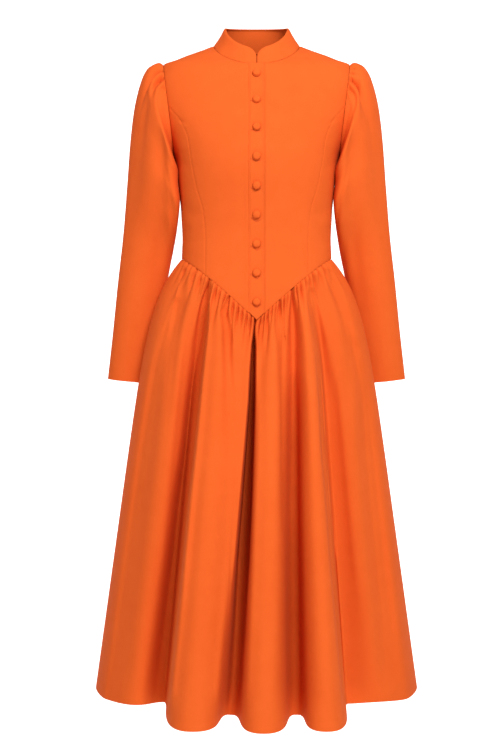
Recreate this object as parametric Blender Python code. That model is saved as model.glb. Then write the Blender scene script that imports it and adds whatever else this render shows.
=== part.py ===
"""A long-sleeved flared dress: fitted bodice with princess seams, band collar, buttoned placket,
sleeves gathered into the armholes, and a skirt gathered on to a V-shaped waist seam.

It keeps the hollow shape of a worn dress. The front faces -Y, the viewer's right is +X and up
is +Z, in metres. The origin is on the centre line, level with the points where neckline and
shoulder seam meet. "Left" and "right" in names are the wearer's: the wearer's right is at -X.
"""

import math

import bpy
import numpy as np

# ------------------------------------------------------------------ cloth
CLOTH = 0.0013  # wall of the bodice and the sleeves
SKIRT_CLOTH = 0.0014  # wall of the skirt
BAND_CLOTH = 0.0020  # wall of the collar: two layers of cloth
STRIP_CLOTH = 0.0012  # wall of the placket
SEAM_HALF = 0.00025  # each panel stops this far from its seam line
REST_GAP = 0.0004  # between a panel and what lies on it or meets it
ORANGE = (0.93, 0.125, 0.015)

# ------------------------------------------------------------------ bodice
ROUNDNESS = 2.2  # exponent of the level sections: 2 is an ellipse, more is squarer
NECK_HALF = 0.0815  # centre line to the neck-shoulder point
NECK_DROP = 0.044  # the neckline's lowest point, at the centre front
NECK_DROP_BACK = 0.004
NECK_CURVE = 1.15
SHOULDER_END_Z = -0.0368
UNDERARM_Z = -0.210
ARMHOLE_TOP_X = 0.1767
ARMHOLE_BOTTOM_X = 0.1560
ARMHOLE_CURVE = 1.2
ARMHOLE_FRONT = 0.060  # how far the armhole reaches forward of the shoulder seam
ARMHOLE_BACK = 0.055

# Level sections of the torso, from the neck down to the waist point.
TORSO_COLUMNS = ("z", "half_width", "front", "back")
TORSO = (
    (0.0000, 0.0815, 0.0120, 0.0300),
    (-0.0015, 0.0853, 0.0145, 0.0550),
    (-0.0040, 0.0915, 0.0190, 0.0680),
    (-0.0100, 0.1065, 0.0340, 0.0730),
    (-0.0190, 0.1315, 0.0500, 0.0778),
    (-0.0290, 0.1560, 0.0615, 0.0815),
    (-0.0368, 0.1767, 0.0715, 0.0850),
    (-0.0480, 0.1800, 0.0825, 0.0890),
    (-0.0800, 0.1850, 0.0980, 0.0980),
    (-0.1200, 0.1850, 0.1120, 0.1040),
    (-0.1600, 0.1800, 0.1240, 0.1060),
    (-0.2100, 0.1560, 0.1295, 0.1040),
    (-0.2440, 0.1508, 0.1260, 0.0990),
    (-0.2800, 0.1470, 0.1180, 0.0940),
    (-0.3100, 0.1440, 0.1115, 0.0900),
    (-0.3650, 0.1410, 0.1035, 0.0860),
    (-0.4100, 0.1425, 0.1050, 0.0890),
    (-0.4600, 0.1550, 0.1110, 0.0980),
    (-0.5300, 0.1750, 0.1190, 0.1080),
)

# The princess seam, from the armhole (0) to the waist seam (1), as seen from the front.
PRINCESS_TOP_Z = -0.122
PRINCESS_COLUMNS = ("share", "x")
PRINCESS = (
    (0.00, 0.1653),
    (0.09, 0.1420),
    (0.18, 0.1290),
    (0.36, 0.1203),
    (0.49, 0.1116),
    (0.62, 0.1000),
    (0.78, 0.0955),
    (1.00, 0.0955),
)

# The waist seam falls from the side seams to a point at the centre front.
WAIST_SIDE_Z = -0.405
WAIST_POINT_Z = -0.520
WAIST_HALF = 0.1425
WAIST_CURVE = 1.18
WAIST_BACK_DROP = 0.010

# ------------------------------------------------------------------ collar
BAND_HALF = 0.0605  # the top edge is narrower than the neckline
BAND_FRONT = 0.0700
BAND_BACK = 0.0570
BAND_SIDE_Z = 0.0352
BAND_FRONT_FALL = 0.0460
BAND_BACK_RISE = 0.0062
BAND_SLIT = 0.0020  # between the two front ends
BAND_END_RUN = 0.030  # the round corner of each front end, along the band
BAND_END_FALL = 0.56  # and down it, as a share of the height there
BAND_END_COLUMNS = (0.0, 0.06, 0.15, 0.28, 0.45, 0.68, 1.0)  # shares of the round corner
BAND_MERGE = 0.004  # the least distance between two columns
BAND_ROWS = 3
BAND_SEAT = 0.0006  # between the band and the panels that it stands on
BAND_MIDDLE = (0, -0.005, 0)  # a point that the band goes round

# ------------------------------------------------------------------ placket and buttons
STRIP_LEFT = -0.0150
STRIP_RIGHT = 0.0135
STRIP_LIFT = 0.0009  # between the strip and the panels
STRIP_END = 0.04  # share of a row by which the strip stops short of its ends
BUTTONS = 9
BUTTON_FIRST_Z = -0.0643
BUTTON_LAST_Z = -0.4861
BUTTON_RADIUS = 0.0078
BUTTON_HEIGHT = 0.0055
BUTTON_SIDES = 12
BUTTON_PROFILE = ((0.78, 0.0), (1.0, 0.22), (0.97, 0.45), (0.72, 0.80), (0.38, 0.96))  # radius, height

# ------------------------------------------------------------------ sleeves
# Rings of the sleeve from the armhole to the cuff: their outer and inner points seen from the
# front, how far back the centre and the inner point lie, and half the depth front to back.
SLEEVE_COLUMNS = ("outer_x", "outer_z", "inner_x", "inner_z", "centre_y", "inner_y", "half_depth")
SLEEVE = (
    (0.1767, -0.0368, 0.1564, -0.2100, -0.0025, -0.0025, 0.0575),
    (0.1860, -0.0325, 0.1570, -0.2150, -0.0010, -0.0030, 0.0600),
    (0.2015, -0.0382, 0.1568, -0.2220, 0.0010, -0.0060, 0.0615),
    (0.2130, -0.0520, 0.1552, -0.2310, 0.0030, -0.0120, 0.0615),
    (0.2215, -0.0730, 0.1526, -0.2420, 0.0050, -0.0200, 0.0600),
    (0.2325, -0.1170, 0.1492, -0.2620, 0.0100, -0.0280, 0.0565),
    (0.2408, -0.1800, 0.1464, -0.2960, 0.0180, -0.0280, 0.0520),
    (0.2470, -0.2550, 0.1524, -0.3380, 0.0290, -0.0060, 0.0480),
    (0.2558, -0.3530, 0.1620, -0.3980, 0.0420, 0.0360, 0.0435),
    (0.2680, -0.4500, 0.1760, -0.4720, 0.0570, 0.0570, 0.0400),
    (0.2792, -0.5480, 0.1915, -0.5620, 0.0730, 0.0730, 0.0355),
    (0.2900, -0.6365, 0.2045, -0.6452, 0.0860, 0.0860, 0.0320),
)
# The rings of points, counted in rows of that table.
SLEEVE_STATIONS = (0, 0.5, 1, 1.6, 2.3, 3, 3.8, 4.6, 5.4, 6.2, 7, 7.8, 8.7, 9.8, 11)
SLEEVE_SIDES = 36
SLEEVE_TOP_DENSITY = 0.35  # 0 spreads the columns evenly, more crowds them at the top
SLEEVE_BLEND = 1.5  # rings over which the sleeve takes the armhole's exact shape
CAP_GATHER = 0.0028  # half the height of the gathers at the sleeve's head
CAP_GATHER_SPREAD = 0.85  # radians either side of the shoulder seam
CAP_GATHER_EDGE = 4  # exponent: how suddenly they end there
CAP_GATHER_RISE = 1.2  # rows of the table over which they grow from the seam
CAP_GATHER_END = 4.5  # row where they have run out

# ------------------------------------------------------------------ skirt
HEM_Z = -1.232
SEAM_DROP = 0.0006  # the skirt starts this far below the waist seam
GATHER = 0.0034  # half the height of the gathers just below the waist
GATHER_START = 0.45  # share of that height at the seam itself
GATHER_FULL = 0.025  # shares of the skirt's length
GATHER_FADE = 0.060
GATHER_FALL = 1.5  # exponent: how suddenly they fade
GATHER_LIMIT = 0.50  # at most this share of the distance between two columns
HIP_LENGTH = 0.080  # share of the length over which the skirt springs out
HIP_FRONT = 0.10  # share of the flare gained there, at the centre front
HIP_SIDE = 0.31
HIP_BACK = 0.06
HIP_FRONT_SPREAD = 2  # exponents: how far from the centre the side's spring sets in
HIP_BACK_SPREAD = 8
SKIRT_LEVELS = (0.0, 0.012, 0.03, 0.055, 0.09, 0.14, 0.21, 0.30, 0.40, 0.52, 0.64, 0.76, 0.88, 1.0)

# The big folds, from the wearer's right side seam to the left one: where each ridge or valley
# starts on the waist seam, where it ends on the hem, the direction of the hem there (degrees
# from +X) and how round it is, how far the hem hangs above its lowest level, and how many
# columns of points run to the next one.
FOLD_COLUMNS = ("waist_x", "hem_x", "hem_y", "heading", "run", "lift", "columns")
FRONT_FOLDS = (
    (-0.1425, -0.3110, 0.0600, -88, 0.09, 0.001, 3),
    (-0.1300, -0.2830, -0.0380, -50, 0.05, 0.000, 3),
    (-0.1120, -0.2250, -0.0990, -8, 0.07, 0.004, 3),
    (-0.0910, -0.1740, -0.0680, 8, 0.05, 0.002, 7),
    (-0.0500, -0.1160, -0.2700, -4, 0.20, 0.000, 6),
    (0.0000, -0.0485, -0.1600, 0, 0.09, 0.002, 6),
    (0.0320, 0.0110, -0.2830, 0, 0.17, 0.000, 6),
    (0.0620, 0.0710, -0.1600, 0, 0.08, 0.002, 5),
    (0.0800, 0.1235, -0.2700, 4, 0.17, 0.000, 6),
    (0.0990, 0.1700, -0.0800, 2, 0.05, 0.002, 3),
    (0.1160, 0.2250, -0.0720, 14, 0.07, 0.003, 3),
    (0.1310, 0.2820, -0.0360, 52, 0.05, 0.000, 3),
    (0.1425, 0.3110, 0.0600, 88, 0.09, 0.001, 0),
)
BACK_FOLDS = (
    (0.1425, 0.3110, 0.0600, 92, 0.09, 0.001, 3),
    (0.1330, 0.2560, 0.1080, 130, 0.05, 0.003, 4),
    (0.1180, 0.2480, 0.1900, 125, 0.12, 0.000, 4),
    (0.0960, 0.1640, 0.1680, 175, 0.05, 0.003, 5),
    (0.0720, 0.1230, 0.2620, 172, 0.14, 0.000, 5),
    (0.0380, 0.0560, 0.1860, 180, 0.06, 0.002, 5),
    (0.0020, -0.0080, 0.2780, 180, 0.15, 0.000, 5),
    (-0.0350, -0.0700, 0.1850, 180, 0.06, 0.002, 5),
    (-0.0700, -0.1320, 0.2580, 188, 0.14, 0.000, 5),
    (-0.0950, -0.1700, 0.1620, 185, 0.05, 0.003, 5),
    (-0.1180, -0.2460, 0.1880, 235, 0.12, 0.000, 4),
    (-0.1330, -0.2560, 0.1060, 230, 0.05, 0.003, 3),
    (-0.1425, -0.3110, 0.0600, 268, 0.09, 0.001, 0),
)

FRONT, BACK = -1.0, 1.0
QUARTER = math.pi / 2
STEP = 1e-3  # for slopes of the torso's surface, in radians and metres
SAMPLES = 200  # points along a seam line before it is spaced evenly
SHARP_ANGLE = math.radians(50)


# ------------------------------------------------------------------ curves and tables
def column(table, names, name):
    """One named column of a table."""
    return np.array([row[names.index(name)] for row in table], float)


def smooth(knots, values, at):
    """A smooth curve through the values that never overshoots them; knots rise."""
    knots, values, at = (np.asarray(a, float) for a in (knots, values, at))
    steps = np.diff(knots)
    slopes = np.diff(values) / steps
    tangents = np.zeros(len(knots))
    tangents[0], tangents[-1] = slopes[0], slopes[-1]
    for i in range(1, len(knots) - 1):
        before, after = slopes[i - 1], slopes[i]
        if before * after > 0:
            heavy, light = 2 * steps[i] + steps[i - 1], steps[i] + 2 * steps[i - 1]
            tangents[i] = (heavy + light) / (heavy / before + light / after)
    at = np.clip(at, knots[0], knots[-1])
    i = np.clip(np.searchsorted(knots, at, side="right") - 1, 0, len(steps) - 1)
    t = (at - knots[i]) / steps[i]
    return (
        values[i] * (1 + 2 * t) * (1 - t) ** 2
        + values[i + 1] * t * t * (3 - 2 * t)
        + steps[i] * t * (1 - t) * (tangents[i] * (1 - t) - tangents[i + 1] * t)
    )


def torso_size(name, z):
    """A column of the torso's table, read at any height."""
    heights = column(TORSO, TORSO_COLUMNS, "z")[::-1]
    return smooth(heights, column(TORSO, TORSO_COLUMNS, name)[::-1], z)


# ------------------------------------------------------------------ the torso's surface
def armhole_x(z):
    share = np.clip((z - UNDERARM_Z) / (SHOULDER_END_Z - UNDERARM_Z), 0, 1)
    return ARMHOLE_BOTTOM_X + (ARMHOLE_TOP_X - ARMHOLE_BOTTOM_X) * share**ARMHOLE_CURVE


def armhole_depth(z, side):
    """Half an ellipse: how far forward or back the armhole reaches at a height."""
    middle, half = (SHOULDER_END_Z + UNDERARM_Z) / 2, (SHOULDER_END_Z - UNDERARM_Z) / 2
    reach = ARMHOLE_FRONT if side == FRONT else ARMHOLE_BACK
    return reach * np.sqrt(np.clip(1 - ((z - middle) / half) ** 2, 0, 1))


def half_width(z, side):
    """Half the section's width. Between shoulder and underarm it is what makes the section
    pass through the armhole's edge."""
    depth = torso_size("front" if side == FRONT else "back", z)
    share = 1 - (armhole_depth(z, side) / depth) ** ROUNDNESS
    through_armhole = armhole_x(z) / share ** (1 / ROUNDNESS)
    beside_armhole = (z < SHOULDER_END_Z) & (z > UNDERARM_Z)
    return np.where(beside_armhole, through_armhole, torso_size("half_width", z))


def torso_point(angle, z, side):
    """A point of the torso: angle 0 is the centre line and a quarter turn the side."""
    angle, z = np.asarray(angle, float), np.asarray(z, float)
    depth = torso_size("front" if side == FRONT else "back", z)
    across, ahead = np.sin(angle), np.cos(angle)
    x = half_width(z, side) * np.sign(across) * np.abs(across) ** (2 / ROUNDNESS)
    y = side * depth * np.abs(ahead) ** (2 / ROUNDNESS)
    return np.stack([x, y, z + 0 * angle], axis=-1)


def torso_normal(angle, z, side):
    """The outward normal of the torso at a point."""
    angle, z = np.asarray(angle, float), np.asarray(z, float)
    turn_a, turn_b = np.clip(angle - STEP, -QUARTER, QUARTER), np.clip(angle + STEP, -QUARTER, QUARTER)
    low, high = z - STEP, np.minimum(z + STEP, 0)
    around = torso_point(turn_b, z, side) - torso_point(turn_a, z, side)
    upward = torso_point(angle, high, side) - torso_point(angle, low, side)
    normal = np.cross(around, upward)
    normal /= np.linalg.norm(normal, axis=-1, keepdims=True)
    centre = torso_point(angle, z, side) * (1, 1, 0)
    inward = np.sum(normal * centre, axis=-1, keepdims=True) < 0
    return np.where(inward, -normal, normal)


def angle_at(x, z, side):
    """The angle of the point of a section at a distance from the centre line."""
    share = np.clip(np.abs(x) / half_width(z, side), 0, 1)
    return np.sign(x) * np.arcsin(share ** (ROUNDNESS / 2))


def waist_z(x, side):
    """The height of the waist seam at a distance from the centre line."""
    share = np.clip(1 - np.abs(x) / WAIST_HALF, 0, 1)
    if side == BACK:
        return WAIST_SIDE_Z - WAIST_BACK_DROP * share
    return WAIST_SIDE_Z + (WAIST_POINT_Z - WAIST_SIDE_Z) * share**WAIST_CURVE


# ------------------------------------------------------------------ seam lines (angle, z)
def line(angles, heights):
    angles, heights = np.broadcast_arrays(angles, heights)
    return np.stack([angles, heights], axis=-1).astype(float)


def spaced(path, side, count):
    """The same line with its points evenly spaced along the cloth."""
    points = torso_point(path[:, 0], path[:, 1], side)
    run = np.concatenate([[0], np.cumsum(np.linalg.norm(np.diff(points, axis=0), axis=1))])
    at = np.linspace(0, run[-1], count + 1)
    return line(np.interp(at, run, path[:, 0]), np.interp(at, run, path[:, 1]))


def joined(*paths):
    """Lines that follow each other as one."""
    return np.concatenate([paths[0]] + [path[1:] for path in paths[1:]])


def neckline(side, count):
    """From the centre line to the neck-shoulder point."""
    turn = np.linspace(0, QUARTER, SAMPLES)
    drop = NECK_DROP if side == FRONT else NECK_DROP_BACK
    z = -drop * np.abs(np.cos(turn)) ** NECK_CURVE
    z[-1] = 0
    return spaced(line(angle_at(NECK_HALF * np.sin(turn), z, side), z), side, count)


def shoulder(side, count):
    """From the neck-shoulder point to the top of the armhole."""
    return spaced(line(QUARTER, np.linspace(0, SHOULDER_END_Z, SAMPLES)), side, count)


def armhole(side, z_from, z_to, count):
    turn = np.linspace(0, math.pi, SAMPLES)
    z = (z_from + z_to) / 2 + (z_from - z_to) / 2 * np.cos(turn)
    depth = torso_size("front" if side == FRONT else "back", z)
    angle = np.arccos((armhole_depth(z, side) / depth) ** (ROUNDNESS / 2))
    return spaced(line(angle, z), side, count)


def princess(count):
    share = np.linspace(0, 1, SAMPLES)
    knots = column(PRINCESS, PRINCESS_COLUMNS, "share")
    x = column(PRINCESS, PRINCESS_COLUMNS, "x")
    x[0] = armhole_x(PRINCESS_TOP_Z)
    x = smooth(knots, x, share)
    z = PRINCESS_TOP_Z + share * (waist_z(x[-1], FRONT) - PRINCESS_TOP_Z)
    return spaced(line(angle_at(x, z, FRONT), z), FRONT, count)


def side_seam(side, count):
    return spaced(line(QUARTER, np.linspace(UNDERARM_Z, WAIST_SIDE_Z, SAMPLES)), side, count)


def waist(side, x_from, x_to, count):
    x = np.linspace(x_from, x_to, SAMPLES)
    z = waist_z(x, side)
    return spaced(line(angle_at(x, z, side), z), side, count)


def mirrored(path):
    return path[::-1] * (-1, 1)


def unrolled(path, side):
    """(angle, z) points as they lie on a flat pattern piece."""
    return line(path[..., 0] * half_width(path[..., 1], side), path[..., 1])


def panel(side, left, right, top, bottom):
    """Fills a four-sided outline with a net of (angle, z) points, row by row from the top."""
    left, right, top, bottom = (unrolled(path, side) for path in (left, right, top, bottom))
    across = np.linspace(0, 1, len(top))[None, :, None]
    down = np.linspace(0, 1, len(left))[:, None, None]
    corners = (
        (1 - across) * (1 - down) * top[0]
        + across * (1 - down) * top[-1]
        + (1 - across) * down * bottom[0]
        + across * down * bottom[-1]
    )
    sides = (1 - across) * left[:, None] + across * right[:, None]
    ends = (1 - down) * top[None] + down * bottom[None]
    flat = sides + ends - corners
    angle = np.clip(flat[..., 0] / half_width(flat[..., 1], side), -QUARTER, QUARTER)
    return line(angle, flat[..., 1])


# ------------------------------------------------------------------ meshes
def inset(net, amount):
    """Moves the net's four edges inwards, so that neighbouring panels don't touch."""
    moved = net.copy()
    everywhere = slice(None)
    pairs = [((end, everywhere), (beside, everywhere)) for end, beside in ((0, 1), (-1, -2))]
    pairs += [((everywhere, end), (everywhere, beside)) for end, beside in ((0, 1), (-1, -2))]
    for edge, beside in pairs:
        along = np.gradient(net[edge], axis=0)
        along /= np.linalg.norm(along, axis=-1, keepdims=True)
        way = net[beside] - net[edge]
        way -= np.sum(way * along, axis=-1, keepdims=True) * along
        moved[edge] += amount * way / np.linalg.norm(way, axis=-1, keepdims=True)
    return moved


def net_normals(net, around=False):
    """Unit normals of a net of points; around joins its last column to the first."""
    if around:
        across = np.roll(net, -1, axis=1) - np.roll(net, 1, axis=1)
    else:
        across = np.gradient(net, axis=1)
    normals = np.cross(np.gradient(net, axis=0), across)
    return normals / np.linalg.norm(normals, axis=-1, keepdims=True)


def material():
    cloth = bpy.data.materials.new("orange_crepe")
    cloth.use_nodes = True
    shader = cloth.node_tree.nodes["Principled BSDF"]
    shader.inputs["Base Color"].default_value = (*ORANGE, 1)
    shader.inputs["Roughness"].default_value = 0.85
    shader.inputs["Metallic"].default_value = 0.0
    cloth.diffuse_color = (*ORANGE, 1)
    return cloth


def solid(name, points, faces):
    """A named object from points and faces, turned so that its faces point outwards."""
    corners = [points[list(face)] for face in faces]
    volume = sum(
        np.dot(c[0], np.cross(c[i], c[i + 1])) for c in corners for i in range(1, len(c) - 1)
    )
    if volume < 0:
        faces = [face[::-1] for face in faces]
    mesh = bpy.data.meshes.new(name)
    mesh.from_pydata(points.tolist(), [], [tuple(int(i) for i in face) for face in faces])
    mesh.shade_smooth()
    mesh.set_sharp_from_angle(angle=SHARP_ANGLE)
    mesh.materials.append(material())
    made = bpy.data.objects.new(name, mesh)
    bpy.context.scene.collection.objects.link(made)
    return made


def wall(name, outer, inner, around=False):
    """A closed wall between two nets; around joins the last column to the first."""
    rows, columns = outer.shape[:2]
    points = np.concatenate([outer.reshape(-1, 3), inner.reshape(-1, 3)])
    inside = rows * columns

    def at(row, col):
        return row * columns + col % columns

    faces = []
    for row in range(rows - 1):
        for col in range(columns if around else columns - 1):
            quad = (at(row, col), at(row, col + 1), at(row + 1, col + 1), at(row + 1, col))
            faces.append(quad)
            faces.append(tuple(inside + i for i in quad[::-1]))
    for row, turned in ((0, False), (rows - 1, True)):
        for col in range(columns if around else columns - 1):
            a, b = at(row, col), at(row, col + 1)
            edge = (b, a, inside + a, inside + b)
            faces.append(edge[::-1] if turned else edge)
    if not around:
        for col, turned in ((0, False), (columns - 1, True)):
            for row in range(rows - 1):
                a, b = at(row, col), at(row + 1, col)
                edge = (a, b, inside + b, inside + a)
                faces.append(edge[::-1] if turned else edge)
    return solid(name, points, faces)


def torso_wall(name, net, side, flip=False):
    """A bodice panel from its net of (angle, z) points; flip puts it on the other side."""
    angle, z = net[..., 0], net[..., 1]
    outer = inset(torso_point(angle, z, side), SEAM_HALF)
    inner = outer - CLOTH * torso_normal(angle, z, side)
    if flip:
        outer, inner = outer * (-1, 1, 1), inner * (-1, 1, 1)
    return wall(name, outer, inner)


# ------------------------------------------------------------------ the pieces
NECK_COLUMNS, SHOULDER_COLUMNS = 6, 4
ARMHOLE_ROWS, PRINCESS_ROWS, BACK_ARMHOLE_ROWS = 5, 8, 6
SIDE_COLUMNS = 5


def bodice_fronts():
    seam = princess(PRINCESS_ROWS)
    seam_x = abs(torso_point(seam[-1, 0], seam[-1, 1], FRONT)[0])
    outer_edge = joined(armhole(FRONT, SHOULDER_END_Z, PRINCESS_TOP_Z, ARMHOLE_ROWS), seam)
    rows = len(outer_edge) - 1
    centre = spaced(line(0.0, np.linspace(-NECK_DROP, WAIST_POINT_Z, SAMPLES)), FRONT, rows)
    top = joined(neckline(FRONT, NECK_COLUMNS), shoulder(FRONT, SHOULDER_COLUMNS))
    bottom = waist(FRONT, 0, seam_x, len(top) - 1)
    centre_net = panel(FRONT, centre, outer_edge, top, bottom)
    side_net = panel(
        FRONT,
        seam,
        side_seam(FRONT, PRINCESS_ROWS),
        armhole(FRONT, PRINCESS_TOP_Z, UNDERARM_Z, SIDE_COLUMNS),
        waist(FRONT, seam_x, WAIST_HALF, SIDE_COLUMNS),
    )
    for name, flip in (("right", True), ("left", False)):
        torso_wall(f"front_centre_{name}", centre_net, FRONT, flip)
        torso_wall(f"front_side_{name}", side_net, FRONT, flip)
    return centre_net


def bodice_back():
    edge = joined(
        armhole(BACK, SHOULDER_END_Z, UNDERARM_Z, BACK_ARMHOLE_ROWS), side_seam(BACK, PRINCESS_ROWS)
    )
    half_top = joined(neckline(BACK, NECK_COLUMNS), shoulder(BACK, SHOULDER_COLUMNS))
    half_bottom = waist(BACK, 0, WAIST_HALF, len(half_top) - 1)
    net = panel(
        BACK,
        edge * (-1, 1),
        edge,
        joined(mirrored(half_top), half_top),
        joined(mirrored(half_bottom), half_bottom),
    )
    torso_wall("back_bodice", net, BACK)


def collar_net():
    """The band's outer face, from its seam up, from one front end round to the other. It stands
    on the corners of the panels' neckline, with more columns in its round front ends."""
    front = neckline(FRONT, NECK_COLUMNS)
    back = neckline(BACK, NECK_COLUMNS)
    quarter = joined(torso_point(*front.T, FRONT), torso_point(*back.T, BACK)[::-1])
    ring = joined(quarter, quarter[::-1] * (-1, 1, 1))
    steps = np.linalg.norm(np.diff(ring, axis=0), axis=1)
    run = np.concatenate([[0], np.cumsum(steps)])
    ends = BAND_SLIT / 2 + BAND_END_RUN * np.array(BAND_END_COLUMNS)
    inside = run[(run > ends[-1] + BAND_MERGE) & (run < run[-1] - ends[-1] - BAND_MERGE)]
    at = np.concatenate([ends, inside, run[-1] - ends[::-1]])
    base = np.stack([np.interp(at, run, ring[:, i]) for i in range(3)], axis=-1)
    turn = np.interp(at, run, np.linspace(0, 2 * math.pi, len(run)))
    ahead = np.cos(turn)
    top = np.stack([
        BAND_HALF * np.sin(turn),
        np.where(ahead > 0, -BAND_FRONT, -BAND_BACK) * ahead,
        BAND_SIDE_Z + np.where(ahead > 0, -BAND_FRONT_FALL * ahead**2, BAND_BACK_RISE * np.abs(ahead)),
    ], axis=-1)
    from_end = np.minimum(at, run[-1] - at) - BAND_SLIT / 2
    corner = np.clip(1 - from_end / BAND_END_RUN, 0, 1)
    height = 1 - BAND_END_FALL * (1 - np.sqrt(1 - corner**2))
    rise = top - base
    seat = BAND_SEAT * rise / np.linalg.norm(rise, axis=1, keepdims=True)
    levels = np.linspace(0, 1, BAND_ROWS + 1)[:, None, None]
    return base + seat + levels * (rise - seat) * height[:, None]


def collar():
    outer = collar_net()
    normals = net_normals(outer)
    away = np.sum(normals * (outer - BAND_MIDDLE) * (1, 1, 0), axis=-1, keepdims=True)
    normals = np.where(away < 0, -normals, normals)
    wall("collar", outer, outer - BAND_CLOTH * normals)


def placket(centre_net):
    """A strip over the centre front, from the points of the panels that it lies on."""
    cloth = torso_point(centre_net[..., 0], centre_net[..., 1], FRONT)
    across = np.array([STRIP_LEFT, STRIP_LEFT / 2, 0.0, STRIP_RIGHT / 2, STRIP_RIGHT])
    rows = [
        np.stack([across] + [np.interp(np.abs(across), row[:, 0], row[:, i]) for i in (1, 2)], axis=-1)
        for row in cloth
    ]
    net = np.array(rows)
    for end, beside in ((0, 1), (-1, -2)):
        net[end] += STRIP_END * (net[beside] - net[end])
    out = torso_normal(angle_at(net[..., 0], net[..., 2], FRONT), net[..., 2], FRONT)
    outer = net + (STRIP_LIFT + STRIP_CLOTH) * out
    wall("placket", outer, net + STRIP_LIFT * out)
    return outer[:, len(across) // 2]


def buttons(path):
    """Domed buttons, evenly spaced along the middle of the strip; path runs down it."""
    run = np.concatenate([[0], np.cumsum(np.linalg.norm(np.diff(path, axis=0), axis=1))])
    turns = np.linspace(0, 2 * math.pi, BUTTON_SIDES, endpoint=False)
    first, last = np.interp([-BUTTON_FIRST_Z, -BUTTON_LAST_Z], -path[:, 2], run)
    for number, place in enumerate(np.linspace(first, last, BUTTONS), 1):
        seat = np.array([np.interp(place, run, path[:, i]) for i in range(3)])
        i = int(np.searchsorted(run, place))
        axis = np.cross(path[i] - path[i - 1], (1.0, 0.0, 0.0))
        axis *= -np.sign(axis[1]) / np.linalg.norm(axis)
        seat = seat + REST_GAP * axis
        right = np.array([1.0, 0.0, 0.0])
        up = np.cross(axis, right)
        rings = [
            seat + BUTTON_HEIGHT * rise * axis
            + BUTTON_RADIUS * share * (math.cos(turn) * right + math.sin(turn) * up)
            for share, rise in BUTTON_PROFILE
            for turn in turns
        ]
        points = np.array(rings + [seat + BUTTON_HEIGHT * axis])
        faces = [tuple(range(BUTTON_SIDES))[::-1]]
        for ring in range(len(BUTTON_PROFILE) - 1):
            for i in range(BUTTON_SIDES):
                a, b = ring * BUTTON_SIDES + i, ring * BUTTON_SIDES + (i + 1) % BUTTON_SIDES
                faces.append((a, b, b + BUTTON_SIDES, a + BUTTON_SIDES))
        last, tip = (len(BUTTON_PROFILE) - 1) * BUTTON_SIDES, len(points) - 1
        faces += [(last + i, last + (i + 1) % BUTTON_SIDES, tip) for i in range(BUTTON_SIDES)]
        solid(f"button_{number}", points, faces)


def sleeve_turns():
    """The columns' angles round the sleeve, from the shoulder seam forward."""
    even = np.linspace(0, 2 * math.pi, SLEEVE_SIDES, endpoint=False)
    return even - SLEEVE_TOP_DENSITY * np.sin(even)


def sleeve_net(stations, turns):
    """The sleeve's outer face at +X without gathers: rings at rows of its table."""
    rows = np.arange(len(SLEEVE))
    size = {n: smooth(rows, column(SLEEVE, SLEEVE_COLUMNS, n), stations)[:, None] for n in SLEEVE_COLUMNS}
    out, ahead = np.cos(turns), np.sin(turns)
    x = (size["outer_x"] + size["inner_x"]) / 2 + (size["outer_x"] - size["inner_x"]) / 2 * out
    z = (size["outer_z"] + size["inner_z"]) / 2 + (size["outer_z"] - size["inner_z"]) / 2 * out
    y = size["centre_y"] - size["half_depth"] * ahead + (size["inner_y"] - size["centre_y"]) * (1 - out) / 2
    net = np.stack([x, y, z], axis=-1)
    seam_z = (SHOULDER_END_Z + UNDERARM_Z) / 2 + (SHOULDER_END_Z - UNDERARM_Z) / 2 * out
    reach = np.where(ahead > 0, ARMHOLE_FRONT, ARMHOLE_BACK)
    seam = np.stack([armhole_x(seam_z), -reach * ahead, seam_z], axis=-1)
    blend = np.clip(1 - stations / SLEEVE_BLEND, 0, 1)[:, None, None] ** 2
    return net + blend * (seam - net[:1]) + (REST_GAP, 0, 0)


def sleeves():
    stations = np.array(SLEEVE_STATIONS)
    turns = sleeve_turns()
    base = sleeve_net(stations, turns)
    normals = net_normals(base, around=True)
    middle = base.mean(axis=1, keepdims=True)
    normals *= np.sign(np.sum(normals * (base - middle), axis=-1, keepdims=True))
    normals[0, :, 0] = np.minimum(normals[0, :, 0], 0)  # the wall stays outside the armhole
    normals[0] /= np.linalg.norm(normals[0], axis=-1, keepdims=True)
    off_top = np.minimum(turns, 2 * math.pi - turns)
    around = np.where(np.arange(SLEEVE_SIDES) % 2 == 0, 1.0, -1.0)
    around *= np.exp(-((off_top / CAP_GATHER_SPREAD) ** CAP_GATHER_EDGE))
    along = np.minimum(stations / CAP_GATHER_RISE, 1) * np.clip(1 - stations / CAP_GATHER_END, 0, 1)
    outer = base + CAP_GATHER * (along[:, None] * around)[..., None] * normals
    inner = outer - CLOTH * normals
    wall("sleeve_left", outer, inner, around=True)
    wall("sleeve_right", outer * (-1, 1, 1), inner * (-1, 1, 1), around=True)


def hem_curve(folds, at):
    """The hem in plan at a place counted in rows of the fold table."""
    points = np.stack([column(folds, FOLD_COLUMNS, "hem_x"), column(folds, FOLD_COLUMNS, "hem_y")], axis=-1)
    heading = np.radians(column(folds, FOLD_COLUMNS, "heading"))
    run = column(folds, FOLD_COLUMNS, "run")
    tangents = run[:, None] * np.stack([np.cos(heading), np.sin(heading)], axis=-1)
    i = np.clip(np.floor(at).astype(int), 0, len(folds) - 2)
    t = (at - i)[:, None]
    return (
        points[i] * (1 + 2 * t) * (1 - t) ** 2
        + points[i + 1] * t * t * (3 - 2 * t)
        + tangents[i] * t * (1 - t) ** 2
        - tangents[i + 1] * t * t * (1 - t)
    )


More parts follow.
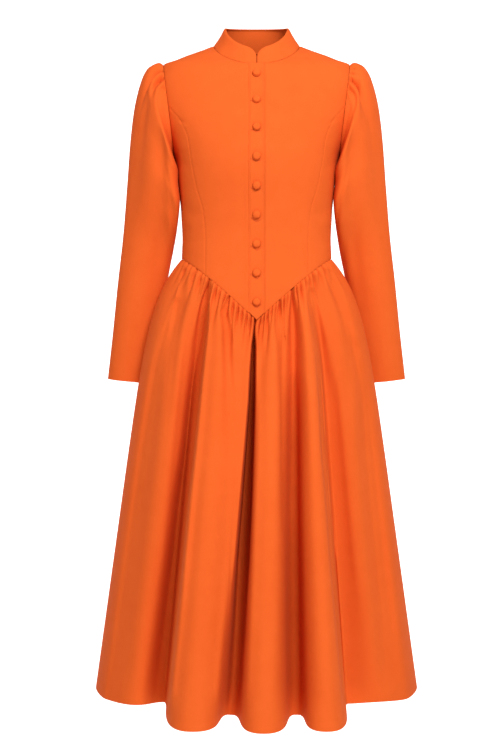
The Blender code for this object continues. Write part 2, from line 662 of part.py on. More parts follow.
def skirt_net(folds, side, at, levels):
    """The skirt's outer face without gathers: columns at places counted in rows of the fold
    table, levels as shares of the skirt's length."""
    rows = np.arange(len(folds))
    x = smooth(rows, column(folds, FOLD_COLUMNS, "waist_x"), at)
    z = waist_z(x, side)
    angle = angle_at(x, z, side)
    start = torso_point(angle, z, side) - (0, 0, SEAM_DROP)
    outward = torso_normal(angle, z, side) * (1, 1, 0)
    outward /= np.linalg.norm(outward, axis=-1, keepdims=True)
    hem = hem_curve(folds, at)
    sideways = (np.abs(x) / WAIST_HALF) ** (HIP_FRONT_SPREAD if side == FRONT else HIP_BACK_SPREAD)
    middle = HIP_FRONT if side == FRONT else HIP_BACK
    hip = middle + (HIP_SIDE - middle) * sideways
    down = np.asarray(levels, float)[:, None]
    flare = hip * (1 - np.exp(-down / HIP_LENGTH)) + (1 - hip * (1 - math.exp(-1 / HIP_LENGTH))) * down
    plan = start[:, :2] + flare[..., None] * (hem - start[:, :2])
    hem_z = HEM_Z + smooth(rows, column(folds, FOLD_COLUMNS, "lift"), at)
    height = start[:, 2] + (hem_z - start[:, 2]) * down
    return np.concatenate([plan, height[..., None]], axis=-1), outward


def skirt():
    """Both skirt panels. Their walls' directions come from the whole ring, so that they agree
    along the side seams."""
    levels = np.array(SKIRT_LEVELS)
    nets = []
    for folds, side in ((FRONT_FOLDS, FRONT), (BACK_FOLDS, BACK)):
        counts = column(folds, FOLD_COLUMNS, "columns").astype(int)
        places = [i + np.arange(n) / n for i, n in enumerate(counts) if n]
        at = np.concatenate(places + [[len(folds) - 1.0]])
        nets.append(skirt_net(folds, side, at, levels))
    ring = np.concatenate([net[:, :-1] for net, _ in nets], axis=1)
    normals = net_normals(ring, around=True)
    outward = np.concatenate([out[:-1] for _, out in nets])
    normals *= np.sign(np.sum(normals * outward, axis=-1).mean())
    normals = np.concatenate([normals, normals[:, :1]], axis=1)
    first = 0
    for name, (base, outward) in zip(("skirt_front", "skirt_back"), nets):
        columns = base.shape[1]
        spacing = np.linalg.norm(np.gradient(base[0], axis=0), axis=-1)
        height = np.minimum(GATHER, GATHER_LIMIT * spacing)
        sign = np.where(np.arange(columns) % 2 == 0, -1.0, 1.0)
        sign[[0, -1]] = 0
        down = levels[:, None]
        swell = GATHER_START + (1 - GATHER_START) * np.minimum(down / GATHER_FULL, 1)
        wave = swell * np.exp(-((down / GATHER_FADE) ** GATHER_FALL)) * height * sign
        outer = base + wave[..., None] * outward
        for end, beside in ((0, 1), (-1, -2)):
            way = outer[:, beside] - outer[:, end]
            outer[:, end] += SEAM_HALF * way / np.linalg.norm(way, axis=-1, keepdims=True)
        wall(name, outer, outer - SKIRT_CLOTH * normals[:, first : first + columns])
        first += columns - 1


def main():
    for old in list(bpy.data.objects):
        bpy.data.objects.remove(old, do_unlink=True)
    centre_net = bodice_fronts()
    bodice_back()
    buttons(placket(centre_net))
    collar()
    sleeves()
    skirt()


main()
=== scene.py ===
"""The looks of a long-sleeved flared dress: every cut piece as a sheet of crepe with its gathers,
puckers and stitches, on the form that its solid has. Metres, front at -Y, up +Z; "left" and
"right" are the wearer's for whole pieces, so the right sleeve is at -X, and the viewer's, with
left at -X, within a piece."""
import logging
import math
from dataclasses import dataclass, field
from enum import Enum
from typing import Any, Optional, Sequence

import bpy
import numpy as np
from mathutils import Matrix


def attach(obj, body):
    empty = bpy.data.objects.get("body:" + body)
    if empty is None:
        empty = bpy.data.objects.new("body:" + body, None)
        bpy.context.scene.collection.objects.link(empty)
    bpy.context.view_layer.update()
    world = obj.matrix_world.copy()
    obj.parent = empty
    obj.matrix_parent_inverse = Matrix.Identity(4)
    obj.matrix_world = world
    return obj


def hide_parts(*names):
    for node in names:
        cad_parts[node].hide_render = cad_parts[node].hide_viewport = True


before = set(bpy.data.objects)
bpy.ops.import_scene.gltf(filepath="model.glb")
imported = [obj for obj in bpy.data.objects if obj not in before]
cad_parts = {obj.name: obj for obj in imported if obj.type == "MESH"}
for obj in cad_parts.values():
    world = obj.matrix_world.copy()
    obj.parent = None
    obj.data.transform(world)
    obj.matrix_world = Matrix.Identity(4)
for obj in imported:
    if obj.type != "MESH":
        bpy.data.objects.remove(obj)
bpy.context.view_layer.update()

log = logging.getLogger("dress")
Array = np.ndarray
Net = np.ndarray  # rows of points, or one row
Pair = tuple[float, float]
Triple = tuple[float, float, float]
Quad = tuple[float, float, float, float]
Table = tuple[tuple[float, ...], ...]
Piece = bpy.types.Object
Socket = bpy.types.NodeSocket
QUARTER = math.pi / 2
FULL = 2 * math.pi
SHARP = math.radians(50)
TENTHS = 10000  # tenths of a millimetre in a metre
WELD = 1e-6  # points nearer than this are one
VIEWPOINT = (-0.01254, -3.1, -0.4826)  # where the front is seen from


class Side(Enum):
    """Which half of the dress a level section's point is on."""

    FRONT = -1.0
    BACK = 1.0


class Hold(Enum):
    HUNG = "hung"
    GATHERED = "gathered"
    STRETCHED = "stretched"
    LAID = "laid"


# ------------ curves
def column(table: Table, names: Sequence[str], name: str) -> Array:
    """One named column of a table."""
    return np.array([row[names.index(name)] for row in table], float)


def smooth(knots: Sequence[float], values: Sequence[float], at: Any) -> Array:
    """A smooth curve through values that never overshoots them.

    Args:
        knots: Rising places of the values.
        values: The value at each knot.
        at: Places to read.
    Returns:
        The curve's value at each place.
    """
    knots, values, at = (np.asarray(a, float) for a in (knots, values, at))
    steps = np.diff(knots)
    slopes = np.diff(values) / steps
    tangents = np.zeros(len(knots))
    tangents[0], tangents[-1] = slopes[0], slopes[-1]
    for i in range(1, len(knots) - 1):
        before, after = slopes[i - 1], slopes[i]
        if before * after > 0:
            heavy, light = 2 * steps[i] + steps[i - 1], steps[i] + 2 * steps[i - 1]
            tangents[i] = (heavy + light) / (heavy / before + light / after)
    at = np.clip(at, knots[0], knots[-1])
    i = np.clip(np.searchsorted(knots, at, side="right") - 1, 0, len(steps) - 1)
    t = (at - knots[i]) / steps[i]
    return (
        values[i] * (1 + 2 * t) * (1 - t) ** 2
        + values[i + 1] * t * t * (3 - 2 * t)
        + steps[i] * t * (1 - t) * (tangents[i] * (1 - t) - tangents[i + 1] * t)
    )


def line(first: Any, second: Any) -> Net:
    """Pairs of numbers from two arrays, such as (angle, z)."""
    first, second = np.broadcast_arrays(first, second)
    return np.stack([first, second], axis=-1).astype(float)


def joined(*paths: Net) -> Net:
    """Lines that follow each other as one."""
    return np.concatenate([paths[0]] + [path[1:] for path in paths[1:]])


def unit(vectors: Net) -> Net:
    """The same directions, one long."""
    return vectors / np.maximum(np.linalg.norm(vectors, axis=-1, keepdims=True), 1e-12)


def along(path: Net) -> Array:
    """The distance along a line of points, from its first one."""
    return np.concatenate([[0.0], np.cumsum(np.linalg.norm(np.diff(path, axis=0), axis=1))])


def read_at(path: Net, run: Array, at: Any) -> Net:
    """A line's points at any places, where run holds the place of each point that it has."""
    return np.stack([np.interp(at, run, path[:, k]) for k in range(path.shape[1])], axis=-1)


def spans(net: Net) -> tuple[Array, Array]:
    """How far each point of a net lies from the net's first column and from its first row.

    Args:
        net: Rows of points.
    Returns:
        The distances along the rows and down the columns.
    """
    across = np.stack([along(row) for row in net])
    down = np.stack([along(net[:, i]) for i in range(net.shape[1])], axis=1)
    return across, down


def normals_of(net: Net, closed: bool = False) -> Net:
    """Unit normals of a net of points.

    Args:
        net: Rows of points.
        closed: Whether the last column is beside the first.
    Returns:
        A direction for each point, all on one side of the net.
    """
    if closed:
        across = np.roll(net, -1, axis=1) - np.roll(net, 1, axis=1)
    else:
        across = np.gradient(net, axis=1)
    return unit(np.cross(np.gradient(net, axis=0), across))


def bell(distance: Any, width: Any, power: float = 2.0) -> Array:
    """1 at no distance, falling softly to 0 beyond the width."""
    return np.exp(-(np.abs(distance / width) ** power))


def ramp(value: Any, low: float, high: float) -> Array:
    """From 0 at low to 1 at high, with a soft start and end."""
    t = np.clip((np.asarray(value, float) - low) / (high - low), 0, 1)
    return t * t * (3 - 2 * t)


# ------------ the torso's form
@dataclass(frozen=True)
class Torso:
    """Level sections of the bodice, and the lines where its pieces are cut."""

    roundness: float = 2.2
    neck_half: float = 0.0815
    neck_drop: float = 0.044
    neck_drop_back: float = 0.004
    neck_curve: float = 1.15
    shoulder_end: float = -0.0368
    underarm: float = -0.210
    armhole_top: float = 0.1767
    armhole_bottom: float = 0.1560
    armhole_curve: float = 1.2
    armhole_front: float = 0.060
    armhole_back: float = 0.055
    waist_side: float = -0.405
    waist_point: float = -0.520
    waist_half: float = 0.1425
    waist_curve: float = 1.18
    waist_back_drop: float = 0.010
    princess_top: float = -0.122
    step: float = 1e-3
    samples: int = 200
    names: tuple[str, ...] = ("z", "half_width", "front", "back")
    rows: Table = (
        (0.0000, 0.0815, 0.0120, 0.0300),
        (-0.0015, 0.0853, 0.0145, 0.0550),
        (-0.0040, 0.0915, 0.0190, 0.0680),
        (-0.0100, 0.1065, 0.0340, 0.0730),
        (-0.0190, 0.1315, 0.0500, 0.0778),
        (-0.0290, 0.1560, 0.0615, 0.0815),
        (-0.0368, 0.1767, 0.0715, 0.0850),
        (-0.0480, 0.1800, 0.0825, 0.0890),
        (-0.0800, 0.1850, 0.0980, 0.0980),
        (-0.1200, 0.1850, 0.1120, 0.1040),
        (-0.1600, 0.1800, 0.1240, 0.1060),
        (-0.2100, 0.1560, 0.1295, 0.1040),
        (-0.2440, 0.1508, 0.1260, 0.0990),
        (-0.2800, 0.1470, 0.1180, 0.0940),
        (-0.3100, 0.1440, 0.1115, 0.0900),
        (-0.3650, 0.1410, 0.1035, 0.0860),
        (-0.4100, 0.1425, 0.1050, 0.0890),
        (-0.4600, 0.1550, 0.1110, 0.0980),
        (-0.5300, 0.1750, 0.1190, 0.1080),
    )
    princess_names: tuple[str, ...] = ("share", "x")
    princess_rows: Table = (
        (0.00, 0.1653), (0.09, 0.1420), (0.18, 0.1290), (0.36, 0.1203),
        (0.49, 0.1116), (0.62, 0.1000), (0.78, 0.0955), (1.00, 0.0955),
    )

    def size(self, name: str, z: Any) -> Array:
        """A column of the table of sections, read at any height."""
        heights = column(self.rows, self.names, "z")[::-1]
        return smooth(heights, column(self.rows, self.names, name)[::-1], z)

    def depth(self, z: Any, side: Side) -> Array:
        """How far the section reaches forward or back at a height."""
        return self.size("front" if side is Side.FRONT else "back", z)

    def armhole_x(self, z: Any) -> Array:
        """How far from the centre line the armhole seam lies at a height."""
        share = np.clip((z - self.underarm) / (self.shoulder_end - self.underarm), 0, 1)
        return self.armhole_bottom + (self.armhole_top - self.armhole_bottom) * share**self.armhole_curve

    def armhole_depth(self, z: Any, side: Side) -> Array:
        """How far forward or back the armhole reaches: half an ellipse.

        Args:
            z: The height.
            side: Forward or back.
        Returns:
            The distance from the middle of the shoulder.
        """
        middle = (self.shoulder_end + self.underarm) / 2
        half = (self.shoulder_end - self.underarm) / 2
        reach = self.armhole_front if side is Side.FRONT else self.armhole_back
        return reach * np.sqrt(np.clip(1 - ((z - middle) / half) ** 2, 0, 1))

    def half_width(self, z: Any, side: Side) -> Array:
        """Half the section's width.

        Args:
            z: The height.
            side: Front or back.
        Returns:
            The width, beside the armhole what makes the section pass through the armhole's edge.
        """
        share = 1 - (self.armhole_depth(z, side) / self.depth(z, side)) ** self.roundness
        through = self.armhole_x(z) / share ** (1 / self.roundness)
        beside = (z < self.shoulder_end) & (z > self.underarm)
        return np.where(beside, through, self.size("half_width", z))

    def point(self, angle: Any, z: Any, side: Side) -> Net:
        """A point of the torso.

        Args:
            angle: 0 on the centre line, a quarter turn at the side, negative at -X.
            z: The height.
            side: Front or back.
        Returns:
            The point.
        """
        angle, z = np.asarray(angle, float), np.asarray(z, float)
        across, ahead = np.sin(angle), np.cos(angle)
        x = self.half_width(z, side) * np.sign(across) * np.abs(across) ** (2 / self.roundness)
        y = side.value * self.depth(z, side) * np.abs(ahead) ** (2 / self.roundness)
        return np.stack([x, y, z + 0 * angle], axis=-1)

    def normal(self, angle: Any, z: Any, side: Side) -> Net:
        """The outward direction of the torso at a point.

        Args:
            angle: The point's angle, as for point.
            z: Its height.
            side: Front or back.
        Returns:
            The direction, one long.
        """
        angle, z = np.asarray(angle, float), np.asarray(z, float)
        turns = [np.clip(angle + step, -QUARTER, QUARTER) for step in (-self.step, self.step)]
        low, high = z - self.step, np.minimum(z + self.step, 0)
        around = self.point(turns[1], z, side) - self.point(turns[0], z, side)
        upward = self.point(angle, high, side) - self.point(angle, low, side)
        normal = unit(np.cross(around, upward))
        centre = self.point(angle, z, side) * (1, 1, 0)
        inward = np.sum(normal * centre, axis=-1, keepdims=True) < 0
        return np.where(inward, -normal, normal)

    def angle_at(self, x: Any, z: Any, side: Side) -> Array:
        """The angle of a section's point at a distance from the centre line."""
        share = np.clip(np.abs(x) / self.half_width(z, side), 0, 1)
        return np.sign(x) * np.arcsin(share ** (self.roundness / 2))

    def waist_z(self, x: Any, side: Side) -> Array:
        """The height of the waist seam.

        Args:
            x: The distance from the centre line.
            side: The front's seam, with its point, or the back's.
        Returns:
            The height.
        """
        share = np.clip(1 - np.abs(x) / self.waist_half, 0, 1)
        if side is Side.BACK:
            return self.waist_side - self.waist_back_drop * share
        return self.waist_side + (self.waist_point - self.waist_side) * share**self.waist_curve

    # seam lines of (angle, z)
    def spaced(self, path: Net, side: Side, count: int) -> Net:
        """The same seam line with its points evenly spaced along the cloth."""
        run = along(self.point(path[:, 0], path[:, 1], side))
        return read_at(path, run, np.linspace(0, run[-1], count + 1))

    def neckline(self, side: Side, count: int) -> Net:
        """From the centre line to the neck-shoulder point.

        Args:
            side: Front or back.
            count: How many steps it gets.
        Returns:
            The seam line.
        """
        turn = np.linspace(0, QUARTER, self.samples)
        drop = self.neck_drop if side is Side.FRONT else self.neck_drop_back
        z = -drop * np.abs(np.cos(turn)) ** self.neck_curve
        z[-1] = 0
        return self.spaced(line(self.angle_at(self.neck_half * np.sin(turn), z, side), z), side, count)

    def shoulder(self, side: Side, count: int) -> Net:
        """From the neck-shoulder point to the top of the armhole."""
        return self.spaced(line(QUARTER, np.linspace(0, self.shoulder_end, self.samples)), side, count)

    def armhole(self, side: Side, z_from: float, z_to: float, count: int) -> Net:
        """The armhole seam between two heights.

        Args:
            side: Front or back.
            z_from, z_to: The heights.
            count: How many steps it gets.
        Returns:
            The seam line.
        """
        turn = np.linspace(0, math.pi, self.samples)
        z = (z_from + z_to) / 2 + (z_from - z_to) / 2 * np.cos(turn)
        angle = np.arccos((self.armhole_depth(z, side) / self.depth(z, side)) ** (self.roundness / 2))
        return self.spaced(line(angle, z), side, count)

    def princess(self, count: int) -> Net:
        """The princess seam, from the armhole to the waist seam.

        Args:
            count: How many steps it gets.
        Returns:
            The seam line.
        """
        share = np.linspace(0, 1, self.samples)
        x = column(self.princess_rows, self.princess_names, "x")
        x[0] = self.armhole_x(self.princess_top)
        x = smooth(column(self.princess_rows, self.princess_names, "share"), x, share)
        z = self.princess_top + share * (self.waist_z(x[-1], Side.FRONT) - self.princess_top)
        return self.spaced(line(self.angle_at(x, z, Side.FRONT), z), Side.FRONT, count)

    def side_seam(self, side: Side, count: int) -> Net:
        """From the underarm to the waist seam."""
        z = np.linspace(self.underarm, self.waist_side, self.samples)
        return self.spaced(line(QUARTER, z), side, count)

    def waist(self, side: Side, x_from: float, x_to: float, count: int) -> Net:
        """The waist seam between two distances from the centre line.

        Args:
            side: Front or back.
            x_from, x_to: The distances.
            count: How many steps it gets.
        Returns:
            The seam line.
        """
        x = np.linspace(x_from, x_to, self.samples)
        z = self.waist_z(x, side)
        return self.spaced(line(self.angle_at(x, z, side), z), side, count)

    def unrolled(self, path: Net, side: Side) -> Net:
        """(angle, z) points as they lie on a flat pattern piece."""
        return line(path[..., 0] * self.half_width(path[..., 1], side), path[..., 1])

    def panel(self, side: Side, left: Net, right: Net, top: Net, bottom: Net) -> Net:
        """Fills a four-sided outline with a net of (angle, z) points, row by row from the top.

        Args:
            side: The half of the dress that the piece is on.
            left, right: Its edges from the top down, with equal counts.
            top, bottom: Its edges from left to right, with equal counts.
        Returns:
            The net.
        """
        left, right, top, bottom = (self.unrolled(path, side) for path in (left, right, top, bottom))
        across = np.linspace(0, 1, len(top))[None, :, None]
        down = np.linspace(0, 1, len(left))[:, None, None]
        corners = (
            (1 - across) * (1 - down) * top[0]
            + across * (1 - down) * top[-1]
            + (1 - across) * down * bottom[0]
            + across * down * bottom[-1]
        )
        sides = (1 - across) * left[:, None] + across * right[:, None]
        flat = sides + (1 - down) * top[None] + down * bottom[None] - corners
        angle = np.clip(flat[..., 0] / self.half_width(flat[..., 1], side), -QUARTER, QUARTER)
        return line(angle, flat[..., 1])


# ------------ soft relief
@dataclass(frozen=True)
class Crease:
    """A soft trough (negative height) or ridge along a line seen from the front, as (x, z)."""

    points: tuple[Pair, ...]
    width: float
    height: float
    end_share: float = 0.02  # the share of its length at which the fade of each end is held

    def rise(self, x: Array, z: Array) -> Array:
        """How far the cloth is moved out.

        Args:
            x: Each place's distance from the centre line.
            z: Its height.
        Returns:
            The move at each place.
        """
        points = np.array(self.points)
        run = along(points)
        nearest = np.full(x.shape, np.inf)
        place = np.zeros(x.shape)
        for i in range(len(points) - 1):
            start, way = points[i], points[i + 1] - points[i]
            share = np.clip(((x - start[0]) * way[0] + (z - start[1]) * way[1]) / (way @ way), 0, 1)
            apart = np.hypot(x - start[0] - share * way[0], z - start[1] - share * way[1])
            closer = apart < nearest
            nearest = np.where(closer, apart, nearest)
            place = np.where(closer, (run[i] + share * (run[i + 1] - run[i])) / run[-1], place)
        held = np.clip(place, self.end_share, 1 - self.end_share)
        fade = np.sqrt(np.clip(np.sin(math.pi * held), 0, 1))
        return self.height * bell(nearest, self.width) * fade


@dataclass(frozen=True)
class Trough:
    """A valley between two folds, or a ridge where its depth is negative, as seen from the front.

    Each row gives a height, the place of the valley's left edge there, how wide its bed is, how
    deep it lies and over what distances its left and right banks rise, in whole tenths of a
    millimetre.
    """

    rows: Table
    names: tuple[str, ...] = ("z", "left", "bed", "depth", "left_bank", "right_bank")
    foot: Pair = (-0.03, 0.02)  # where it starts and is full, from its lowest row
    head: float = 0.004  # how far below and above its highest row it ends

    def rise(self, x: Array, z: Array) -> Array:
        """How far the cloth is moved out.

        Args:
            x: Where each place is seen, from left to right.
            z: Where it is seen, from the bottom up.
        Returns:
            The move at each place, negative in a valley.
        """
        columns = {name: column(self.rows, self.names, name)[::-1] / TENTHS for name in self.names}
        knots = columns["z"]
        size = {name: np.interp(z, knots, values) for name, values in columns.items()}
        from_left = x - size["left"]
        on_left, on_right = from_left / size["left_bank"], (from_left - size["bed"]) / size["right_bank"]
        bank = np.where(from_left < 0, on_left, on_right)
        inside = (from_left >= 0) & (from_left <= size["bed"])
        within = ramp(z, knots[0] + self.foot[0], knots[0] + self.foot[1])
        within = within * ramp(-z, -knots[-1] - self.head, -knots[-1] + self.head)
        return -size["depth"] * np.where(inside, 1.0, bell(bank, 1.0)) * within


def seen(points: Net) -> tuple[Array, Array]:
    """The x and z at which the studio's camera sees points of the front, on the centre's plane."""
    away = VIEWPOINT[1] / (VIEWPOINT[1] - points[..., 1])
    return tuple(VIEWPOINT[i] + (points[..., i] - VIEWPOINT[i]) * away for i in (0, 2))


@dataclass(frozen=True)
class SeamRoll:
    """The turn of a panel's edge into its seam, with a low ridge beside it."""

    depth: float = 0.0006
    width: float = 0.0016
    ridge: float = 0.15  # its height in depths of the turn
    ridge_in: float = 2.4  # how far from the edge it stands, in widths of the turn
    ridge_width: float = 1.5  # in widths of the turn

    def rise(self, net: Net, edges: Sequence[str]) -> Array:
        """How far the panel is moved out.

        Args:
            net: The panel's points.
            edges: Names of its sewn edges: top, bottom, left, right.
        Returns:
            The move at each point.
        """
        across, down = spans(net)
        from_edge = {"top": down, "bottom": down[-1:] - down, "left": across}
        from_edge["right"] = across[:, -1:] - across
        turned = np.zeros(net.shape[:2])
        raised = np.zeros(net.shape[:2])
        for edge in edges:
            beside = from_edge[edge] - self.ridge_in * self.width
            turned = np.maximum(turned, bell(from_edge[edge], self.width))
            raised = np.maximum(raised, bell(beside, self.ridge_width * self.width))
        return self.depth * (self.ridge * raised - turned)


# ------------ shader expressions
class Value:
    """A shader socket that takes part in Python expressions."""

    def __init__(self, nodes: "Nodes", socket: Socket) -> None:
        """Keeps the socket and the tree that new nodes go into."""
        self.nodes = nodes
        self.socket = socket

    def _maths(self, operation: str, first: Any, second: Any) -> "Value":
        """One Math node on two operands."""
        node = self.nodes.node("ShaderNodeMath", {"operation": operation}, {0: first, 1: second})
        return Value(self.nodes, node.outputs[0])

    def __add__(self, other: Any) -> "Value":
        """self + other."""
        return self._maths("ADD", self, other)

    def __radd__(self, other: Any) -> "Value":
        """other + self."""
        return self._maths("ADD", other, self)

    def __sub__(self, other: Any) -> "Value":
        """self - other."""
        return self._maths("SUBTRACT", self, other)

    def __rsub__(self, other: Any) -> "Value":
        """other - self."""
        return self._maths("SUBTRACT", other, self)

    def __mul__(self, other: Any) -> "Value":
        """self * other."""
        return self._maths("MULTIPLY", self, other)

    def __rmul__(self, other: Any) -> "Value":
        """other * self."""
        return self._maths("MULTIPLY", other, self)

    def wave(self) -> "Value":
        """The sine of the value."""
        return self._maths("SINE", self, 0.0)


class Nodes:
    """A node tree whose nodes are all made by one method."""

    def __init__(self, tree: bpy.types.NodeTree) -> None:
        """Keeps the tree."""
        self.tree = tree

    def node(self, kind: str, settings: dict[str, Any], inputs: dict[Any, Any]) -> bpy.types.Node:
        """A new node.

        Args:
            kind: The node's type.
            settings: Its own settings, set first.
            inputs: Values or links of its sockets, by name or number.
        Returns:
            The node.
        """
        made = self.tree.nodes.new(kind)
        for name, value in settings.items():
            setattr(made, name, value)
        for name, value in inputs.items():
            self.feed(made.inputs[name], value)
        return made

    def feed(self, socket: Socket, value: Any) -> None:
        """Gives a socket what it reads.

        Args:
            socket: The socket.
            value: A value or another node's socket to link, or the number or colour to set.
        """
        if isinstance(value, Value):
            self.tree.links.new(value.socket, socket)
        elif isinstance(value, Socket):
            self.tree.links.new(value, socket)
        else:
            socket.default_value = value

    def noise(self, place: Any, scale: float, detail: float, roughness: float = 0.5) -> Value:
        """Soft noise between 0 and 1.

        Args:
            place: The point that is read.
            scale: Features to a metre.
            detail: How many finer layers it has.
            roughness: How strong those are.
        Returns:
            The noise.
        """
        sockets = {"Vector": place, "Scale": scale, "Detail": detail, "Roughness": roughness}
        made = self.node("ShaderNodeTexNoise", {}, sockets)
        return Value(self, made.outputs[0])

    def blend(self, share: Any, first: Any, second: Any) -> Socket:
        """A colour between two colours."""
        made = self.node("ShaderNodeMix", {"data_type": "RGBA"}, {0: share, 6: first, 7: second})
        return made.outputs[2]

    def bump(self, height: Any, strength: float, distance: float) -> Socket:
        """A normal from a height."""
        made = self.node("ShaderNodeBump", {}, {"Strength": strength, "Distance": distance, "Height": height})
        return made.outputs[0]


class Shader(Nodes):
    """The nodes of a material."""

    def __init__(self, name: str) -> None:
        """Starts a material with its Principled shader.

        Args:
            name: The material's name.
        """
        self.material = bpy.data.materials.new(name)
        self.material.use_nodes = True
        super().__init__(self.material.node_tree)
        self.principled = self.tree.nodes["Principled BSDF"]

    def place(self) -> Socket:
        """Where on the piece a point lies, in metres."""
        return self.node("ShaderNodeTexCoord", {}, {}).outputs["Object"]

    def split(self, vector: Socket, count: int) -> list[Value]:
        """The first parts of a vector."""
        parts = self.node("ShaderNodeSeparateXYZ", {}, {0: vector}).outputs
        return [Value(self, parts[i]) for i in range(count)]

    def set(self, name: str, value: Any) -> None:
        """Gives one of the Principled shader's sockets a value."""
        self.feed(self.principled.inputs[name], value)


@dataclass(frozen=True)
class Crepe:
    """A matte crepe: crinkled threads, a faint fuzz and a slight unevenness of dye."""

    colour: Triple = (0.790, 0.141, 0.0265)
    deep: Triple = (0.660, 0.090, 0.0120)
    roughness: float = 0.86
    roughness_range: float = 0.06
    specular: float = 0.07
    sheen: float = 0.02
    sheen_roughness: float = 0.45
    sheen_tint: Triple = (1.0, 0.42, 0.22)
    uv: str = "cloth"
    thread: float = 0.0007  # from one thread to the next
    weft_wander: float = 9.0  # how far crinkles push the threads aside, in radians of their wave
    warp_wander: float = 7.0
    # noises: features to a metre, detail and roughness
    broad: Triple = (7.0, 3.0, 0.5)
    cloud: Triple = (38.0, 3.0, 0.6)
    pebble: Triple = (1500.0, 2.0, 0.6)
    crinkle: Triple = (520.0, 2.0, 0.6)
    in_shade: Quad = (0.45, 0.30, 0.15, 0.10)  # shares of broad, cloud, pebble and threads
    in_height: Quad = (0.5, 0.9, 0.8, 4.5)  # shares of threads, pebble, crinkle and cloud
    bump_strength: float = 0.30
    bump_distance: float = 0.00022

    def make(self) -> bpy.types.Material:
        """The material, for pieces that have the UV map in metres.

        Returns:
            The material.
        """
        shader = Shader("orange_crepe")
        place = shader.place()
        across, down = shader.split(shader.node("ShaderNodeUVMap", {"uv_map": self.uv}, {}).outputs[0], 2)
        broad, cloud, pebble, crinkle = (
            shader.noise(place, *noise) for noise in (self.broad, self.cloud, self.pebble, self.crinkle)
        )
        turn = FULL / self.thread
        weft = ((down * turn) + crinkle * self.weft_wander).wave()
        warp = ((across * turn) + pebble * self.warp_wander).wave()
        threads = weft * warp * 0.5 + 0.5
        first, second, third, fourth = self.in_shade
        shade = broad * first + cloud * second + pebble * third + threads * fourth
        first, second, third, fourth = self.in_height
        height = threads * first + pebble * second + crinkle * third + cloud * fourth
        shader.set("Base Color", shader.blend(shade, (*self.deep, 1), (*self.colour, 1)))
        shader.set("Roughness", cloud * self.roughness_range + (self.roughness - self.roughness_range / 2))
        shader.set("Normal", shader.bump(height, self.bump_strength, self.bump_distance))
        shader.set("Specular IOR Level", self.specular)
        shader.set("Sheen Weight", self.sheen)
        shader.set("Sheen Roughness", self.sheen_roughness)
        shader.set("Sheen Tint", (*self.sheen_tint, 1))
        shader.material.diffuse_color = (*self.colour, 1)
        return shader.material


@dataclass(frozen=True)
class Thread:
    """Sewing thread dyed to match, a little shinier than the cloth."""

    colour: Triple = (0.90, 0.115, 0.014)
    shaded: float = 0.85  # the colour between the plies, as a share
    roughness: float = 0.55
    roughness_range: float = 0.1
    twist: Pair = (1800.0, 1.0)  # features to a metre, detail
    bump_strength: float = 0.3
    bump_distance: float = 0.0001

    def make(self) -> bpy.types.Material:
        """The material.

        Returns:
            The material.
        """
        shader = Shader("orange_thread")
        twist = shader.noise(shader.place(), *self.twist)
        dark = tuple(part * self.shaded for part in self.colour)
        shader.set("Base Color", shader.blend(twist, (*dark, 1), (*self.colour, 1)))
        shader.set("Roughness", twist * self.roughness_range + (self.roughness - self.roughness_range / 2))
        shader.set("Normal", shader.bump(twist, self.bump_strength, self.bump_distance))
        return shader.material


@dataclass(frozen=True)
class Paper:
    """The studio's plain pale sweep."""

    colour: Triple = (0.93, 0.93, 0.93)
    shaded: float = 0.99
    grain: Pair = (3.0, 2.0)  # features to a metre, detail
    roughness: float = 0.9
    glow: float = 0.85
    lit_from: float = 0.6  # how far behind the dress the lit part starts
    lit_over: float = 1.2

    def make(self) -> bpy.types.Material:
        """Pale paper, lit from behind the dress on.

        Returns:
            The material.
        """
        shader = Shader("pale_sweep")
        place = shader.place()
        dark = tuple(part * self.shaded for part in self.colour)
        grain = shader.noise(place, *self.grain)
        shader.set("Base Color", shader.blend(grain, (*dark, 1), (*self.colour, 1)))
        shader.set("Roughness", self.roughness)
        behind = (shader.split(place, 2)[1] - self.lit_from) * (1 / self.lit_over)
        lit = shader.node("ShaderNodeClamp", {}, {0: behind}).outputs[0]
        shader.set("Emission Color", shader.blend(lit, (0, 0, 0, 1), (1, 1, 1, 1)))
        shader.set("Emission Strength", self.glow)
        return shader.material


# ------------ making cloth
def deselect() -> None:
    """Leaves nothing selected and object mode on."""
    if bpy.context.object and bpy.context.object.mode != "OBJECT":
        bpy.ops.object.mode_set(mode="OBJECT")
    bpy.ops.object.select_all(action="DESELECT")


def edit(piece: Piece) -> None:
    """Opens a piece in edit mode with all of it selected.

    Args:
        piece: The piece.
    """
    deselect()
    piece.select_set(True)
    bpy.context.view_layer.objects.active = piece
    bpy.ops.object.mode_set(mode="EDIT")
    bpy.ops.mesh.select_all(action="SELECT")


